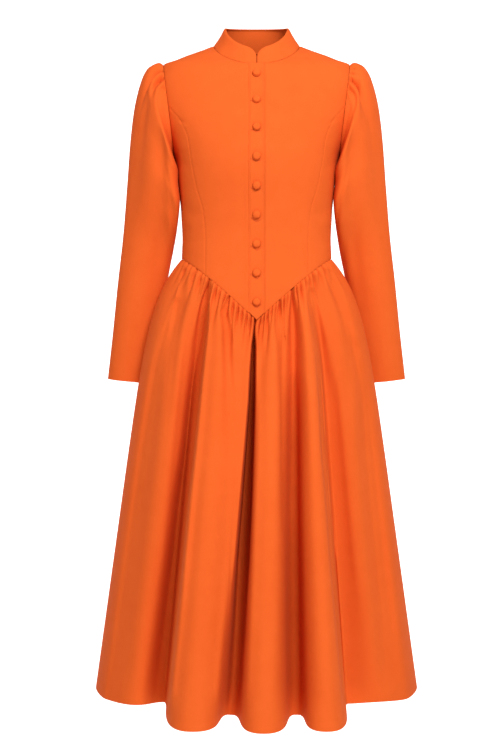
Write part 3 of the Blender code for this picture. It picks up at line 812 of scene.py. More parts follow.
@dataclass
class Cutter:
    cloth: bpy.types.Material
    thread: bpy.types.Material
    uv: str = "cloth"
    made: list[str] = field(default_factory=list)

    def sheet(self, name: str, net: Net, outward: Net, thickness: float, closed: bool = False) -> Piece:
        """A walled sheet whose outer face is the net.

        Args:
            name: The piece's name.
            net: Rows of points.
            outward: A direction for each point that the outer face looks along.
            thickness: The cloth's thickness, inwards from the net.
            closed: Whether the last column meets the first.
        Returns:
            The piece.
        """
        if closed:
            net, outward = (np.concatenate([a, a[:, :1]], axis=1) for a in (net, outward))
        rows, columns = net.shape[:2]
        deselect()
        bpy.ops.mesh.primitive_grid_add(x_subdivisions=columns - 1, y_subdivisions=rows - 1, size=1)
        piece = bpy.context.object
        piece.name = piece.data.name = name
        mesh = piece.data
        flat = np.empty(len(mesh.vertices) * 3)
        mesh.vertices.foreach_get("co", flat)
        flat = flat.reshape(-1, 3)
        col = np.rint((flat[:, 0] + 0.5) * (columns - 1)).astype(int)
        row = np.rint((0.5 - flat[:, 1]) * (rows - 1)).astype(int)
        mesh.vertices.foreach_set("co", net[row, col].ravel())
        mesh.update()
        self._lay_out(mesh, net, row, col)
        faces = np.empty(len(mesh.polygons) * 3)
        mesh.polygons.foreach_get("normal", faces)
        first = np.array([polygon.vertices[0] for polygon in mesh.polygons])
        agree = np.sum(faces.reshape(-1, 3) * outward[row, col][first])
        edit(piece)
        if closed:
            bpy.ops.mesh.remove_doubles(threshold=WELD)
        if agree < 0:
            bpy.ops.mesh.flip_normals()
        bpy.ops.object.mode_set(mode="OBJECT")
        wall = piece.modifiers.new("wall", "SOLIDIFY")
        wall.thickness = thickness
        wall.offset = -1
        bpy.ops.object.modifier_apply(modifier="wall")
        bpy.ops.object.shade_smooth_by_angle(angle=SHARP)
        return self.dress(piece)

    def _lay_out(self, mesh: bpy.types.Mesh, net: Net, row: Array, col: Array) -> None:
        """Gives a grid mesh a UV map in metres along and across the cloth.

        Args:
            mesh: The mesh.
            net: The points that it has.
            row, col: Which point of the net each vertex is.
        """
        across, down = spans(net)
        places = line(across - across[:, -1:] / 2, -down)[row, col]
        layer = mesh.uv_layers.active or mesh.uv_layers.new(name=self.uv)
        layer.name = self.uv
        corners = np.empty(len(mesh.loops), int)
        mesh.loops.foreach_get("vertex_index", corners)
        mesh.uv_layers[self.uv].data.foreach_set("uv", places[corners].ravel())

    def dress(self, piece: Piece, thread: bool = False) -> Piece:
        """Gives a piece its material and lets it ride on the dress.

        Args:
            piece: The piece.
            thread: Whether it is of thread and not of cloth.
        Returns:
            The piece.
        """
        piece.data.materials.clear()
        piece.data.materials.append(self.thread if thread else self.cloth)
        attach(piece, "root")
        self.made.append(piece.name)
        return piece

    def declare(self, piece: Piece, net: Net, node: str, hold: Hold, rests_on: Sequence[str] = (),
                parts: Sequence[Piece] = (), closed: bool = False) -> None:
        """Hides the solid that a sheet replaces and logs the size of its cut.

        Args:
            piece: The sheet.
            net: The points of its outer face, from which its cut is measured.
            node: The solid that it replaces.
            hold: How the cloth is held; not used.
            rests_on: What it hangs from or lies on; not used.
            parts: Separate pieces that are sewn to it; not used.
            closed: Whether the net's last column meets its first.
        """
        if closed:
            net = np.concatenate([net, net[:, :1]], axis=1)
        across, down = spans(net)
        width, length, area = across[:, -1].max(), down[-1].max(), cloth_area(net)
        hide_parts(node)
        log.info("%s: cut %.3f x %.3f m, %.4f square metres", piece.name, width, length, area)


def cloth_area(net: Net) -> float:
    """The area of a net of points.

    Args:
        net: Rows of points.
    Returns:
        Square metres.
    """
    a, b, c, d = net[:-1, :-1], net[:-1, 1:], net[1:, 1:], net[1:, :-1]
    halves = [np.linalg.norm(np.cross(u, v), axis=-1) for u, v in ((b - a, c - a), (c - a, d - a))]
    return float((halves[0] + halves[1]).sum() / 2)


@dataclass(frozen=True)
class Stitching:
    """A line of sewing stitches lying on cloth."""

    pitch: float = 0.0030
    length: float = 0.0023
    radius: float = 0.00024
    sides: int = 6
    rounding: float = 0.6  # how far its ends are rounded, in radii

    def _seats(self, path: Net, outward: Net) -> list[tuple[Net, Net]]:
        """Where each stitch of a line lies and how it is turned.

        Args:
            path: The line's points.
            outward: The cloth's outward direction at each of them.
        Returns:
            The place of each stitch, and its directions along, across and outward.
        """
        run = along(path)
        seats = []
        for i in range(int(run[-1] // self.pitch)):
            at = (i + 0.5) * self.pitch
            place, up = read_at(path, run, at), unit(read_at(outward, run, at))
            way = read_at(path, run, at + min(self.pitch / 3, run[-1] - at)) - place
            way = unit(way - (way @ up) * up)
            seats.append((place, np.stack([way, np.cross(up, way), up])))
        return seats

    def sew(self, cutter: Cutter, name: str, paths: Sequence[tuple[Net, Net]]) -> Piece:
        """Stitches along lines, as one piece.

        Args:
            cutter: What dresses the piece.
            name: The piece's name.
            paths: Points and outward directions of each line.
        Returns:
            The piece.
        """
        deselect()
        size = {"vertices": self.sides, "radius": self.radius, "depth": self.length}
        bpy.ops.mesh.primitive_cylinder_add(**size, rotation=(0, QUARTER, 0))
        piece = bpy.context.object
        bpy.ops.object.transform_apply(rotation=True)
        edit(piece)
        bpy.ops.mesh.bevel(offset=self.radius * self.rounding, segments=1, affect="EDGES")
        bpy.ops.object.mode_set(mode="OBJECT")
        stitch = piece.data
        shape = np.array([v.co for v in stitch.vertices])
        faces = [tuple(p.vertices) for p in stitch.polygons]
        points, polygons = [], []
        for path, outward in paths:
            for place, turn in self._seats(path, outward):
                polygons += [tuple(len(points) * len(shape) + k for k in face) for face in faces]
                points.append(shape @ turn + place)
        mesh = bpy.data.meshes.new(name)
        mesh.from_pydata(np.concatenate(points).tolist(), [], polygons)
        mesh.shade_smooth()
        piece.data = mesh
        piece.name = mesh.name = name
        bpy.data.meshes.remove(stitch)
        cutter.dress(piece, thread=True)
        return piece


# ------------ the bodice
@dataclass(frozen=True)
class Dart:
    """A sewn dart of the back: a fine groove with puckers, leaning outwards as it rises."""

    x: float
    top: float = -0.235
    full: float = -0.285
    lean: float = 0.10  # how much further out its top is, as a share
    lean_from: float = -0.41
    lean_to: float = -0.24
    depth: float = 0.0007
    width: float = 0.0022
    pucker: float = 0.0005
    pucker_turns: float = 560.0  # radians to a metre
    pucker_phase: float = 90.0  # radians to a metre from the centre line
    pucker_width: float = 0.009

    def rise(self, x: Array, z: Array) -> Array:
        """How far the cloth is moved out.

        Args:
            x: Each place's distance from the centre line.
            z: Its height.
        Returns:
            The move at each place.
        """
        strength = ramp(z, self.top, self.full)
        seam = self.x * (1 + self.lean * ramp(z, self.lean_from, self.lean_to))
        wave = np.sin(z * self.pucker_turns + self.x * self.pucker_phase)
        puckers = self.pucker * wave * bell(x - self.x, self.pucker_width)
        return (puckers - self.depth * bell(x - seam, self.width)) * strength


@dataclass
class Bodice:
    """Two centre fronts, two side fronts and the back, cut along princess and side seams."""

    torso: Torso
    cutter: Cutter
    cloth: float = 0.0013
    seam_half: float = 0.00004
    neck_columns: int = 30
    shoulder_columns: int = 20
    armhole_rows: int = 34
    princess_rows: int = 84
    side_columns: int = 30
    # puckers beside the princess seam
    pucker: float = 0.00028
    pucker_pitch: float = 0.011
    pucker_wander: float = 1.7  # radians
    pucker_drift: float = 47.0  # radians to a metre
    pucker_phases: Pair = (0.0, 2.1)  # of the centre and side fronts, in radians
    pucker_in: float = 0.004  # from the seam to the highest ones
    pucker_width: float = 0.006
    creases: tuple[Crease, ...] = (
        Crease(((0.1330, -0.1560), (0.1420, -0.1500), (0.1500, -0.1470)), 0.0030, -0.0012),
        Crease(((0.1290, -0.1620), (0.1400, -0.1590)), 0.0035, 0.0008),
        Crease(((0.1560, -0.2150), (0.1340, -0.2330), (0.1150, -0.2400)), 0.0090, -0.0009),
        Crease(((0.1500, -0.1900), (0.1280, -0.2050)), 0.0080, 0.0007),
        Crease(((0.1440, -0.3050), (0.1200, -0.3200), (0.0950, -0.3250)), 0.0100, -0.0010),
        Crease(((0.1420, -0.3350), (0.1150, -0.3450)), 0.0080, 0.0007),
        Crease(((0.1420, -0.3700), (0.1180, -0.3750), (0.0900, -0.3720)), 0.0080, -0.0007),
        Crease(((0.1100, -0.0700), (0.1350, -0.1000), (0.1560, -0.1350)), 0.0120, -0.0009),
    )
    darts: tuple[Dart, ...] = (Dart(-0.078), Dart(0.078))
    # how the fronts rise to meet the placket's edge: how far, and the distances from the centre
    # line between which they rise and sink
    lap: float = 0.0011
    lap_rises: Pair = (0.0148, 0.0151)
    lap_sinks: Pair = (0.0152, 0.0260)
    # the back has the front's drag lines from the armhole to the waist, weaker and moved a little
    back_drags: tuple[int, int] = (2, 7)
    back_strength: float = 0.9
    back_shift: Pair = (0.004, 0.012)  # outwards, uneven between left and right, and up
    centre: Optional[Net] = None

    def _walls(self, name: str, net: Net, side: Side, edges: Sequence[str], relief: Array,
               flips: dict[str, bool]) -> None:
        """One panel, and its mirror image where it has one.

        Args:
            name: The name of the panel's node, without its left or right.
            net: Its (angle, z) points.
            side: The half of the dress that it is on.
            edges: Its sewn edges.
            relief: How far each point is moved out.
            flips: The end of each copy's name, and whether the copy is mirrored.
        """
        angle, z = net[..., 0], net[..., 1]
        points = inset(self.torso.point(angle, z, side), self.seam_half)
        outward = self.torso.normal(angle, z, side)
        rise = SeamRoll().rise(points, edges) + relief
        for end, flip in flips.items():
            turn = np.array((-1.0 if flip else 1.0, 1, 1))
            outer = (points + rise[..., None] * outward) * turn
            piece = self.cutter.sheet(f"{name}{end}_cloth", outer, outward * turn, self.cloth)
            self.cutter.declare(piece, outer, name + end, Hold.STRETCHED)

    def _relief(self, net: Net, seam: str, phase: float) -> Array:
        """Drag lines of the front, the rise at the placket and puckers beside the princess seam.

        Args:
            net: The panel's (angle, z) points.
            seam: Which edge of the panel the seam is, left or right.
            phase: Where the puckers' wave starts, in radians.
        Returns:
            How far each point is moved out.
        """
        points = self.torso.point(net[..., 0], net[..., 1], Side.FRONT)
        x, z = points[..., 0], points[..., 2]
        rise = sum(crease.rise(np.abs(x), z) for crease in self.creases)
        rise = rise + self.lap * ramp(-x, *(-at for at in self.lap_sinks[::-1])) * ramp(x, *self.lap_rises)
        across, _ = spans(points)
        apart = across if seam == "left" else across[:, -1:] - across
        wander = self.pucker_wander * np.sin(z * self.pucker_drift)
        wave = np.sin(z / self.pucker_pitch * FULL + phase + wander)
        return rise + self.pucker * wave * bell(apart - self.pucker_in, self.pucker_width)

    def build(self) -> None:
        """Makes the five panels."""
        torso = self.torso
        both = {"_right": True, "_left": False}
        seam = torso.princess(self.princess_rows)
        seam_x = float(abs(torso.point(seam[-1, 0], seam[-1, 1], Side.FRONT)[0]))
        armhole = torso.armhole(Side.FRONT, torso.shoulder_end, torso.princess_top, self.armhole_rows)
        edge = joined(armhole, seam)
        middle = line(0.0, np.linspace(-torso.neck_drop, torso.waist_point, torso.samples))
        neckline = torso.neckline(Side.FRONT, self.neck_columns)
        top = joined(neckline, torso.shoulder(Side.FRONT, self.shoulder_columns))
        self.centre = torso.panel(
            Side.FRONT,
            torso.spaced(middle, Side.FRONT, len(edge) - 1),
            edge,
            top,
            torso.waist(Side.FRONT, 0, seam_x, len(top) - 1),
        )
        relief = self._relief(self.centre, "right", self.pucker_phases[0])
        self._walls("front_centre", self.centre, Side.FRONT, ("top", "bottom", "right"), relief, both)
        beside = torso.panel(
            Side.FRONT,
            seam,
            torso.side_seam(Side.FRONT, self.princess_rows),
            torso.armhole(Side.FRONT, torso.princess_top, torso.underarm, self.side_columns),
            torso.waist(Side.FRONT, seam_x, torso.waist_half, self.side_columns),
        )
        relief = self._relief(beside, "left", self.pucker_phases[1])
        self._walls("front_side", beside, Side.FRONT, ("top", "bottom", "left", "right"), relief, both)
        self._back()

    def _back(self) -> None:
        """The back panel, with a sewn dart either side of the centre."""
        torso = self.torso
        edge = joined(
            torso.armhole(Side.BACK, torso.shoulder_end, torso.underarm, self.armhole_rows),
            torso.side_seam(Side.BACK, self.princess_rows),
        )
        neckline = torso.neckline(Side.BACK, self.neck_columns)
        half_top = joined(neckline, torso.shoulder(Side.BACK, self.shoulder_columns))
        half_bottom = torso.waist(Side.BACK, 0, torso.waist_half, len(half_top) - 1)
        mirror = np.array((-1, 1))
        top, bottom = (joined(half[::-1] * mirror, half) for half in (half_top, half_bottom))
        net = torso.panel(Side.BACK, edge * mirror, edge, top, bottom)
        points = torso.point(net[..., 0], net[..., 1], Side.BACK)
        x, z = points[..., 0], points[..., 2]
        out, up = self.back_shift
        creases = self.creases[slice(*self.back_drags)]
        drags = sum(crease.rise(np.abs(x) + out * np.sign(x), z + up) for crease in creases)
        rise = sum(dart.rise(x, z) for dart in self.darts) + self.back_strength * drags
        self._walls("back_bodice", net, Side.BACK, ("top", "bottom", "left", "right"), rise, {"": False})


def inset(net: Net, amount: float) -> Net:
    """Moves a net's four edges inwards, so that neighbouring panels don't touch.

    Args:
        net: The panel's points.
        amount: How far each edge is moved.
    Returns:
        The moved points.
    """
    moved = net.copy()
    everywhere = slice(None)
    pairs = [((end, everywhere), (beside, everywhere)) for end, beside in ((0, 1), (-1, -2))]
    pairs += [((everywhere, end), (everywhere, beside)) for end, beside in ((0, 1), (-1, -2))]
    for edge, beside in pairs:
        way_along = unit(np.gradient(net[edge], axis=0))
        way = net[beside] - net[edge]
        way -= np.sum(way * way_along, axis=-1, keepdims=True) * way_along
        moved[edge] += amount * unit(way)
    return moved


# ------------ placket and buttons
@dataclass
class Placket:
    """A folded strip over the centre front with two stitched lines, worked holes and buttons."""

    torso: Torso
    cutter: Cutter
    bodice: Bodice
    left: float = -0.0150
    right: float = 0.0135
    lift: float = 0.0009
    cloth: float = 0.0012
    columns: int = 36
    end_in: float = 0.4  # from its seams to its ends, as a share of a row
    corner: float = 0.0050  # radius of the top corner at the free edge
    # relief, each a height and a width: the turn of the fold and of the free edge, the free
    # edge's lift, and the pull of the stitches
    fold: Pair = (0.0007, 0.0016)
    free: Pair = (0.0003, 0.0007)
    free_lift: Pair = (0.0011, 0.0040)
    pull: Pair = (0.00035, 0.0007)
    puff: float = 0.00035  # how far it bulges between two buttons
    puff_in: float = 0.006
    puff_varies: Triple = (0.8, 0.4, 31.0)  # mean share, by how much, in radians to a metre
    stitch_in: float = 0.0022
    stitch_off: float = 0.00012
    hole_length: float = 0.0205
    hole_shift: float = -0.0018
    hole_width: float = 0.0026
    hole_points: int = 12
    hole_off: float = 0.00008
    buttons: int = 9
    first_z: float = -0.0643
    last_z: float = -0.4861

    def _strip(self, across: Array) -> Net:
        """The strip as it lies on the bodice.

        Args:
            across: Where its columns lie, from left to right.
        Returns:
            Its points, from the top down.
        """
        centre = self.bodice.centre
        cloth = self.torso.point(centre[..., 0], centre[..., 1], Side.FRONT)
        net = np.array([read_at(row, row[:, 0], np.abs(across)) for row in cloth])
        net[..., 0] = across
        for end, beside in ((0, 1), (-1, -2)):
            net[end] += self.end_in * (net[beside] - net[end])
        for i, x in enumerate(across):
            past = np.clip((x - self.right + self.corner) / self.corner, 0, 1)
            run = along(net[:, i])
            start = self.corner * (1 - math.sqrt(1 - past**2))
            net[:, i] = read_at(net[:, i], run, np.linspace(start, run[-1], len(run)))
        return net

    def _rise(self, x: Array, z: Array) -> Array:
        """How far the strip's outer face stands out from the bodice.

        Args:
            x: Each point's distance from the centre line.
            z: Its height.
        Returns:
            The distance at each point.
        """
        from_fold, from_free = x - self.left, self.right - x
        edge = np.minimum(from_fold, from_free)
        rise = np.full(x.shape, self.lift + self.cloth)
        for sign, (height, width), apart in (
            (-1, self.fold, from_fold),
            (-1, self.free, from_free),
            (1, self.free_lift, from_free),
            (-1, self.pull, edge - self.stitch_in),
        ):
            rise += sign * height * bell(apart, width)
        pitch = (self.first_z - self.last_z) / (self.buttons - 1)
        bulge = (1 - np.cos((z - self.first_z) / pitch * FULL)) * ramp(edge, 0, self.puff_in)
        mean, most, drift = self.puff_varies
        return rise + self.puff * bulge * (mean + most * np.sin(z * drift))

    def build(self) -> Net:
        """Makes the strip.

        Returns:
            Points down its middle, on its outer face.
        """
        across = np.linspace(self.left, self.right, self.columns)
        net = self._strip(across)
        x, z = net[..., 0], net[..., 2]
        out = self.torso.normal(self.torso.angle_at(x, z, Side.FRONT), z, Side.FRONT)
        outer = net + self._rise(x, z)[..., None] * out
        piece = self.cutter.sheet("placket_cloth", outer, out, self.cloth)
        lines = []
        for place in (self.left + self.stitch_in, self.right - self.stitch_in):
            i = int(np.argmin(np.abs(across - place)))
            lines.append((outer[1:-1, i] + self.stitch_off * out[1:-1, i], out[1:-1, i]))
        sewn = Stitching().sew(self.cutter, "placket_stitches", lines)
        holes = self._holes(outer, out, across)
        fronts = ["front_centre_right", "front_centre_left"]
        self.cutter.declare(piece, outer, "placket", Hold.LAID, fronts, [sewn, holes])
        return outer[:, int(np.argmin(np.abs(across)))]

    def _holes(self, outer: Net, out: Net, across: Array) -> Piece:
        """Buttonholes: dense stitches along both lips of a slit, as one piece.

        Args:
            outer: The points of the strip's outer face.
            out: The outward direction at each of them.
            across: Where its columns lie.
        Returns:
            The piece.
        """
        half = self.hole_length / 2
        reach = np.linspace(-half, half, self.hole_points) + self.hole_shift
        lines = []
        for z in np.linspace(self.first_z, self.last_z, self.buttons):
            row = int(np.argmin(np.abs(outer[:, 0, 2] - z)))
            face = read_at(out[row], across, reach)
            for up in (-1, 1):
                lip = read_at(outer[row], across, reach) + (0, 0, up * self.hole_width / 4)
                lines.append((lip + self.hole_off * face, face))
        worked = Stitching(pitch=0.0011, length=0.0012, radius=0.00030)
        return worked.sew(self.cutter, "buttonholes", lines)


@dataclass
class Buttons:
    """Domed buttons covered in the dress's cloth, each on a short shank."""

    cutter: Cutter
    placket: Placket
    radius: float = 0.0080
    height: float = 0.0064
    sides: int = 40
    gap: float = 0.0004
    reach: float = 0.006  # how far above and below it the strip's slope is read
    tilt: float = 0.035  # the most that one is turned, in radians
    tilt_step: float = 2.3
    # the section from its back to its top: shares of radius and height
    profile: Table = (
        (0.80, 0.00), (0.92, 0.03), (0.99, 0.10), (1.00, 0.18), (0.975, 0.30),
        (0.925, 0.45), (0.865, 0.61), (0.82, 0.72), (0.775, 0.79), (0.71, 0.845),
        (0.60, 0.895), (0.45, 0.945), (0.30, 0.98), (0.14, 0.998),
    )

    def _button(self) -> Piece:
        """One button at the origin, its top along +Z, by extruding and sizing a disc's rim.

        Returns:
            The button.
        """
        deselect()
        start = self.profile[0][0] * self.radius
        bpy.ops.mesh.primitive_circle_add(vertices=self.sides, radius=start, fill_type="NGON")
        piece = bpy.context.object
        edit(piece)
        bpy.ops.mesh.delete(type="ONLY_FACE")
        bpy.ops.mesh.select_all(action="SELECT")
        radius, height = self.profile[0][0], 0.0
        for next_radius, next_height in self.profile[1:]:
            step = (0, 0, (next_height - height) * self.height)
            bpy.ops.mesh.extrude_region_move(TRANSFORM_OT_translate={"value": step})
            share = next_radius / radius
            bpy.ops.transform.resize(value=(share, share, 1))
            radius, height = next_radius, next_height
        bpy.ops.mesh.edge_face_add()
        bpy.ops.mesh.poke()
        bpy.ops.mesh.select_all(action="DESELECT")
        bpy.ops.mesh.select_non_manifold()
        bpy.ops.mesh.edge_face_add()
        bpy.ops.mesh.select_all(action="SELECT")
        bpy.ops.mesh.normals_make_consistent(inside=False)
        bpy.ops.object.mode_set(mode="OBJECT")
        layer = piece.data.uv_layers.active or piece.data.uv_layers.new(name=self.cutter.uv)
        layer.name = self.cutter.uv
        for loop in piece.data.loops:
            spot = piece.data.vertices[loop.vertex_index].co
            layer.data[loop.index].uv = (spot.x, spot.y)
        bpy.ops.object.shade_smooth_by_angle(angle=SHARP)
        return piece

    def build(self, path: Net) -> None:
        """Copies the button to its places down the strip.

        Args:
            path: Points down the middle of the strip.
        """
        master = self._button()
        shape = np.array([v.co for v in master.data.vertices])
        run = along(path)
        strip = self.placket
        first, last = np.interp([-strip.first_z, -strip.last_z], -path[:, 2], run)
        for number, place in enumerate(np.linspace(first, last, strip.buttons), 1):
            seat, above, below = (read_at(path, run, place + move) for move in (0, -self.reach, self.reach))
            axis = unit(np.cross(below - above, (1.0, 0.0, 0.0)))
            axis = axis * -np.sign(axis[1])
            tilt = self.tilt * math.sin(number * self.tilt_step)
            right = np.array([math.cos(tilt), 0, math.sin(tilt)])
            right = unit(right - (right @ axis) * axis)
            turned = shape @ np.stack([right, np.cross(axis, right), axis])
            piece = master.copy()
            piece.data = master.data.copy()
            piece.name = piece.data.name = f"button_{number}_cloth"
            bpy.context.scene.collection.objects.link(piece)
            piece.data.vertices.foreach_set("co", (turned + seat + self.gap * axis).ravel())
            piece.data.update()
            self.cutter.dress(piece)
            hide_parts(f"button_{number}")
        bpy.data.objects.remove(master, do_unlink=True)
        log.info("%d covered buttons", strip.buttons)


# ------------ the collar
@dataclass
class Collar:
    """A standing band with round front ends, doubled cloth with a sewn lower edge."""

    torso: Torso
    cutter: Cutter
    cloth: float = 0.0020
    half: float = 0.0605
    front: float = 0.0700
    back: float = 0.0570
    side_z: float = 0.0352
    front_fall: float = 0.0475
    fall_curve: float = 1.2
    back_rise: float = 0.0062
    slit: float = 0.0020
    end_run: float = 0.030
    end_fall: float = 0.56
    seat: float = 0.0001
    back_lap: float = 0.0010  # how far the band reaches below the back neckline, inside the seam
    rows: int = 22
    columns: int = 190
    end_columns: int = 22
    neck_steps: int = 72  # in a quarter of the neckline
    middle: Triple = (0.0, -0.005, 0.0)  # a point inside the neck
    # relief: how far it is bowed in at mid height and how that wavers round the neck, the roll
    # of the top and the turn of the edges
    bow: float = 0.0012
    waver: float = 0.0004
    wavers: float = 23.0
    top_roll: Triple = (0.0016, 0.0030, 2.6)  # depth, width, power
    edge_turn: float = 0.0005
    edge_width: float = 0.0012
    end_width: float = 0.0010

    def _neckline(self) -> Net:
        """The neck seam's points, from the front's centre round and back to it.

        Returns:
            The points.
        """
        quarters = []
        for side in (Side.FRONT, Side.BACK):
            seam = self.torso.neckline(side, self.neck_steps)
            quarters.append(self.torso.point(seam[:, 0], seam[:, 1], side))
        half = joined(quarters[0], quarters[1][::-1])
        return joined(half, half[::-1] * (-1, 1, 1))

    def net(self) -> Net:
        """The band's outer face, from its seam up, from one front end round to the other.

        Returns:
            Its points, row by row.
        """
        ring = self._neckline()
        run = along(ring)
        ends = self.slit / 2 + self.end_run * np.linspace(0, 1, self.end_columns) ** 2
        inside = np.linspace(ends[-1], run[-1] - ends[-1], self.columns - 2 * self.end_columns + 2)[1:-1]
        at = np.concatenate([ends, inside, run[-1] - ends[::-1]])
        base = read_at(ring, run, at)
        turn = np.interp(at, run, np.linspace(0, FULL, len(run)))
        ahead = np.cos(turn)
        fall = -self.front_fall * np.abs(ahead) ** self.fall_curve
        fall = np.where(ahead > 0, fall, self.back_rise * np.abs(ahead))
        reach = np.where(ahead > 0, -self.front, -self.back)
        top = np.stack([self.half * np.sin(turn), reach * ahead, self.side_z + fall], axis=-1)
        from_end = np.minimum(at, run[-1] - at) - self.slit / 2
        corner = np.clip(1 - from_end / self.end_run, 0, 1)
        height = 1 - self.end_fall * (1 - np.sqrt(1 - corner**2))
        rise = top - base
        seat = np.where(ahead > 0, self.seat, -self.back_lap)[:, None] * unit(rise)
        levels = np.linspace(0, 1, self.rows + 1)[:, None, None]
        return base + seat + levels * (rise - seat) * height[:, None]

    def build(self) -> None:
        """Makes the band, slightly bowed in, with its edges rolled."""
        base = self.net()
        normals = normals_of(base)
        away = np.sum(normals * (base - self.middle) * (1, 1, 0), axis=-1, keepdims=True)
        normals = np.where(away < 0, -normals, normals)
        up = np.linspace(0, 1, len(base))[:, None]
        around = np.linspace(0, 1, base.shape[1])[None, :]
        bow = (self.waver * np.sin(around * self.wavers) - self.bow) * np.sin(math.pi * up)
        across, down = spans(base)
        turned = bell(down[-1:] - down, self.edge_width) + bell(down, self.edge_width)
        turned = turned + bell(np.minimum(across, across[:, -1:] - across), self.end_width)
        depth, width, power = self.top_roll
        roll = depth * bell(down[-1:] - down, width, power) + self.edge_turn * np.clip(turned, 0, 1)
        outer = base + (bow - roll)[..., None] * normals
        piece = self.cutter.sheet("collar_cloth", outer, normals, self.cloth)
        seams = ["front_centre_right", "front_centre_left", "back_bodice"]
        self.cutter.declare(piece, outer, "collar", Hold.STRETCHED, seams)


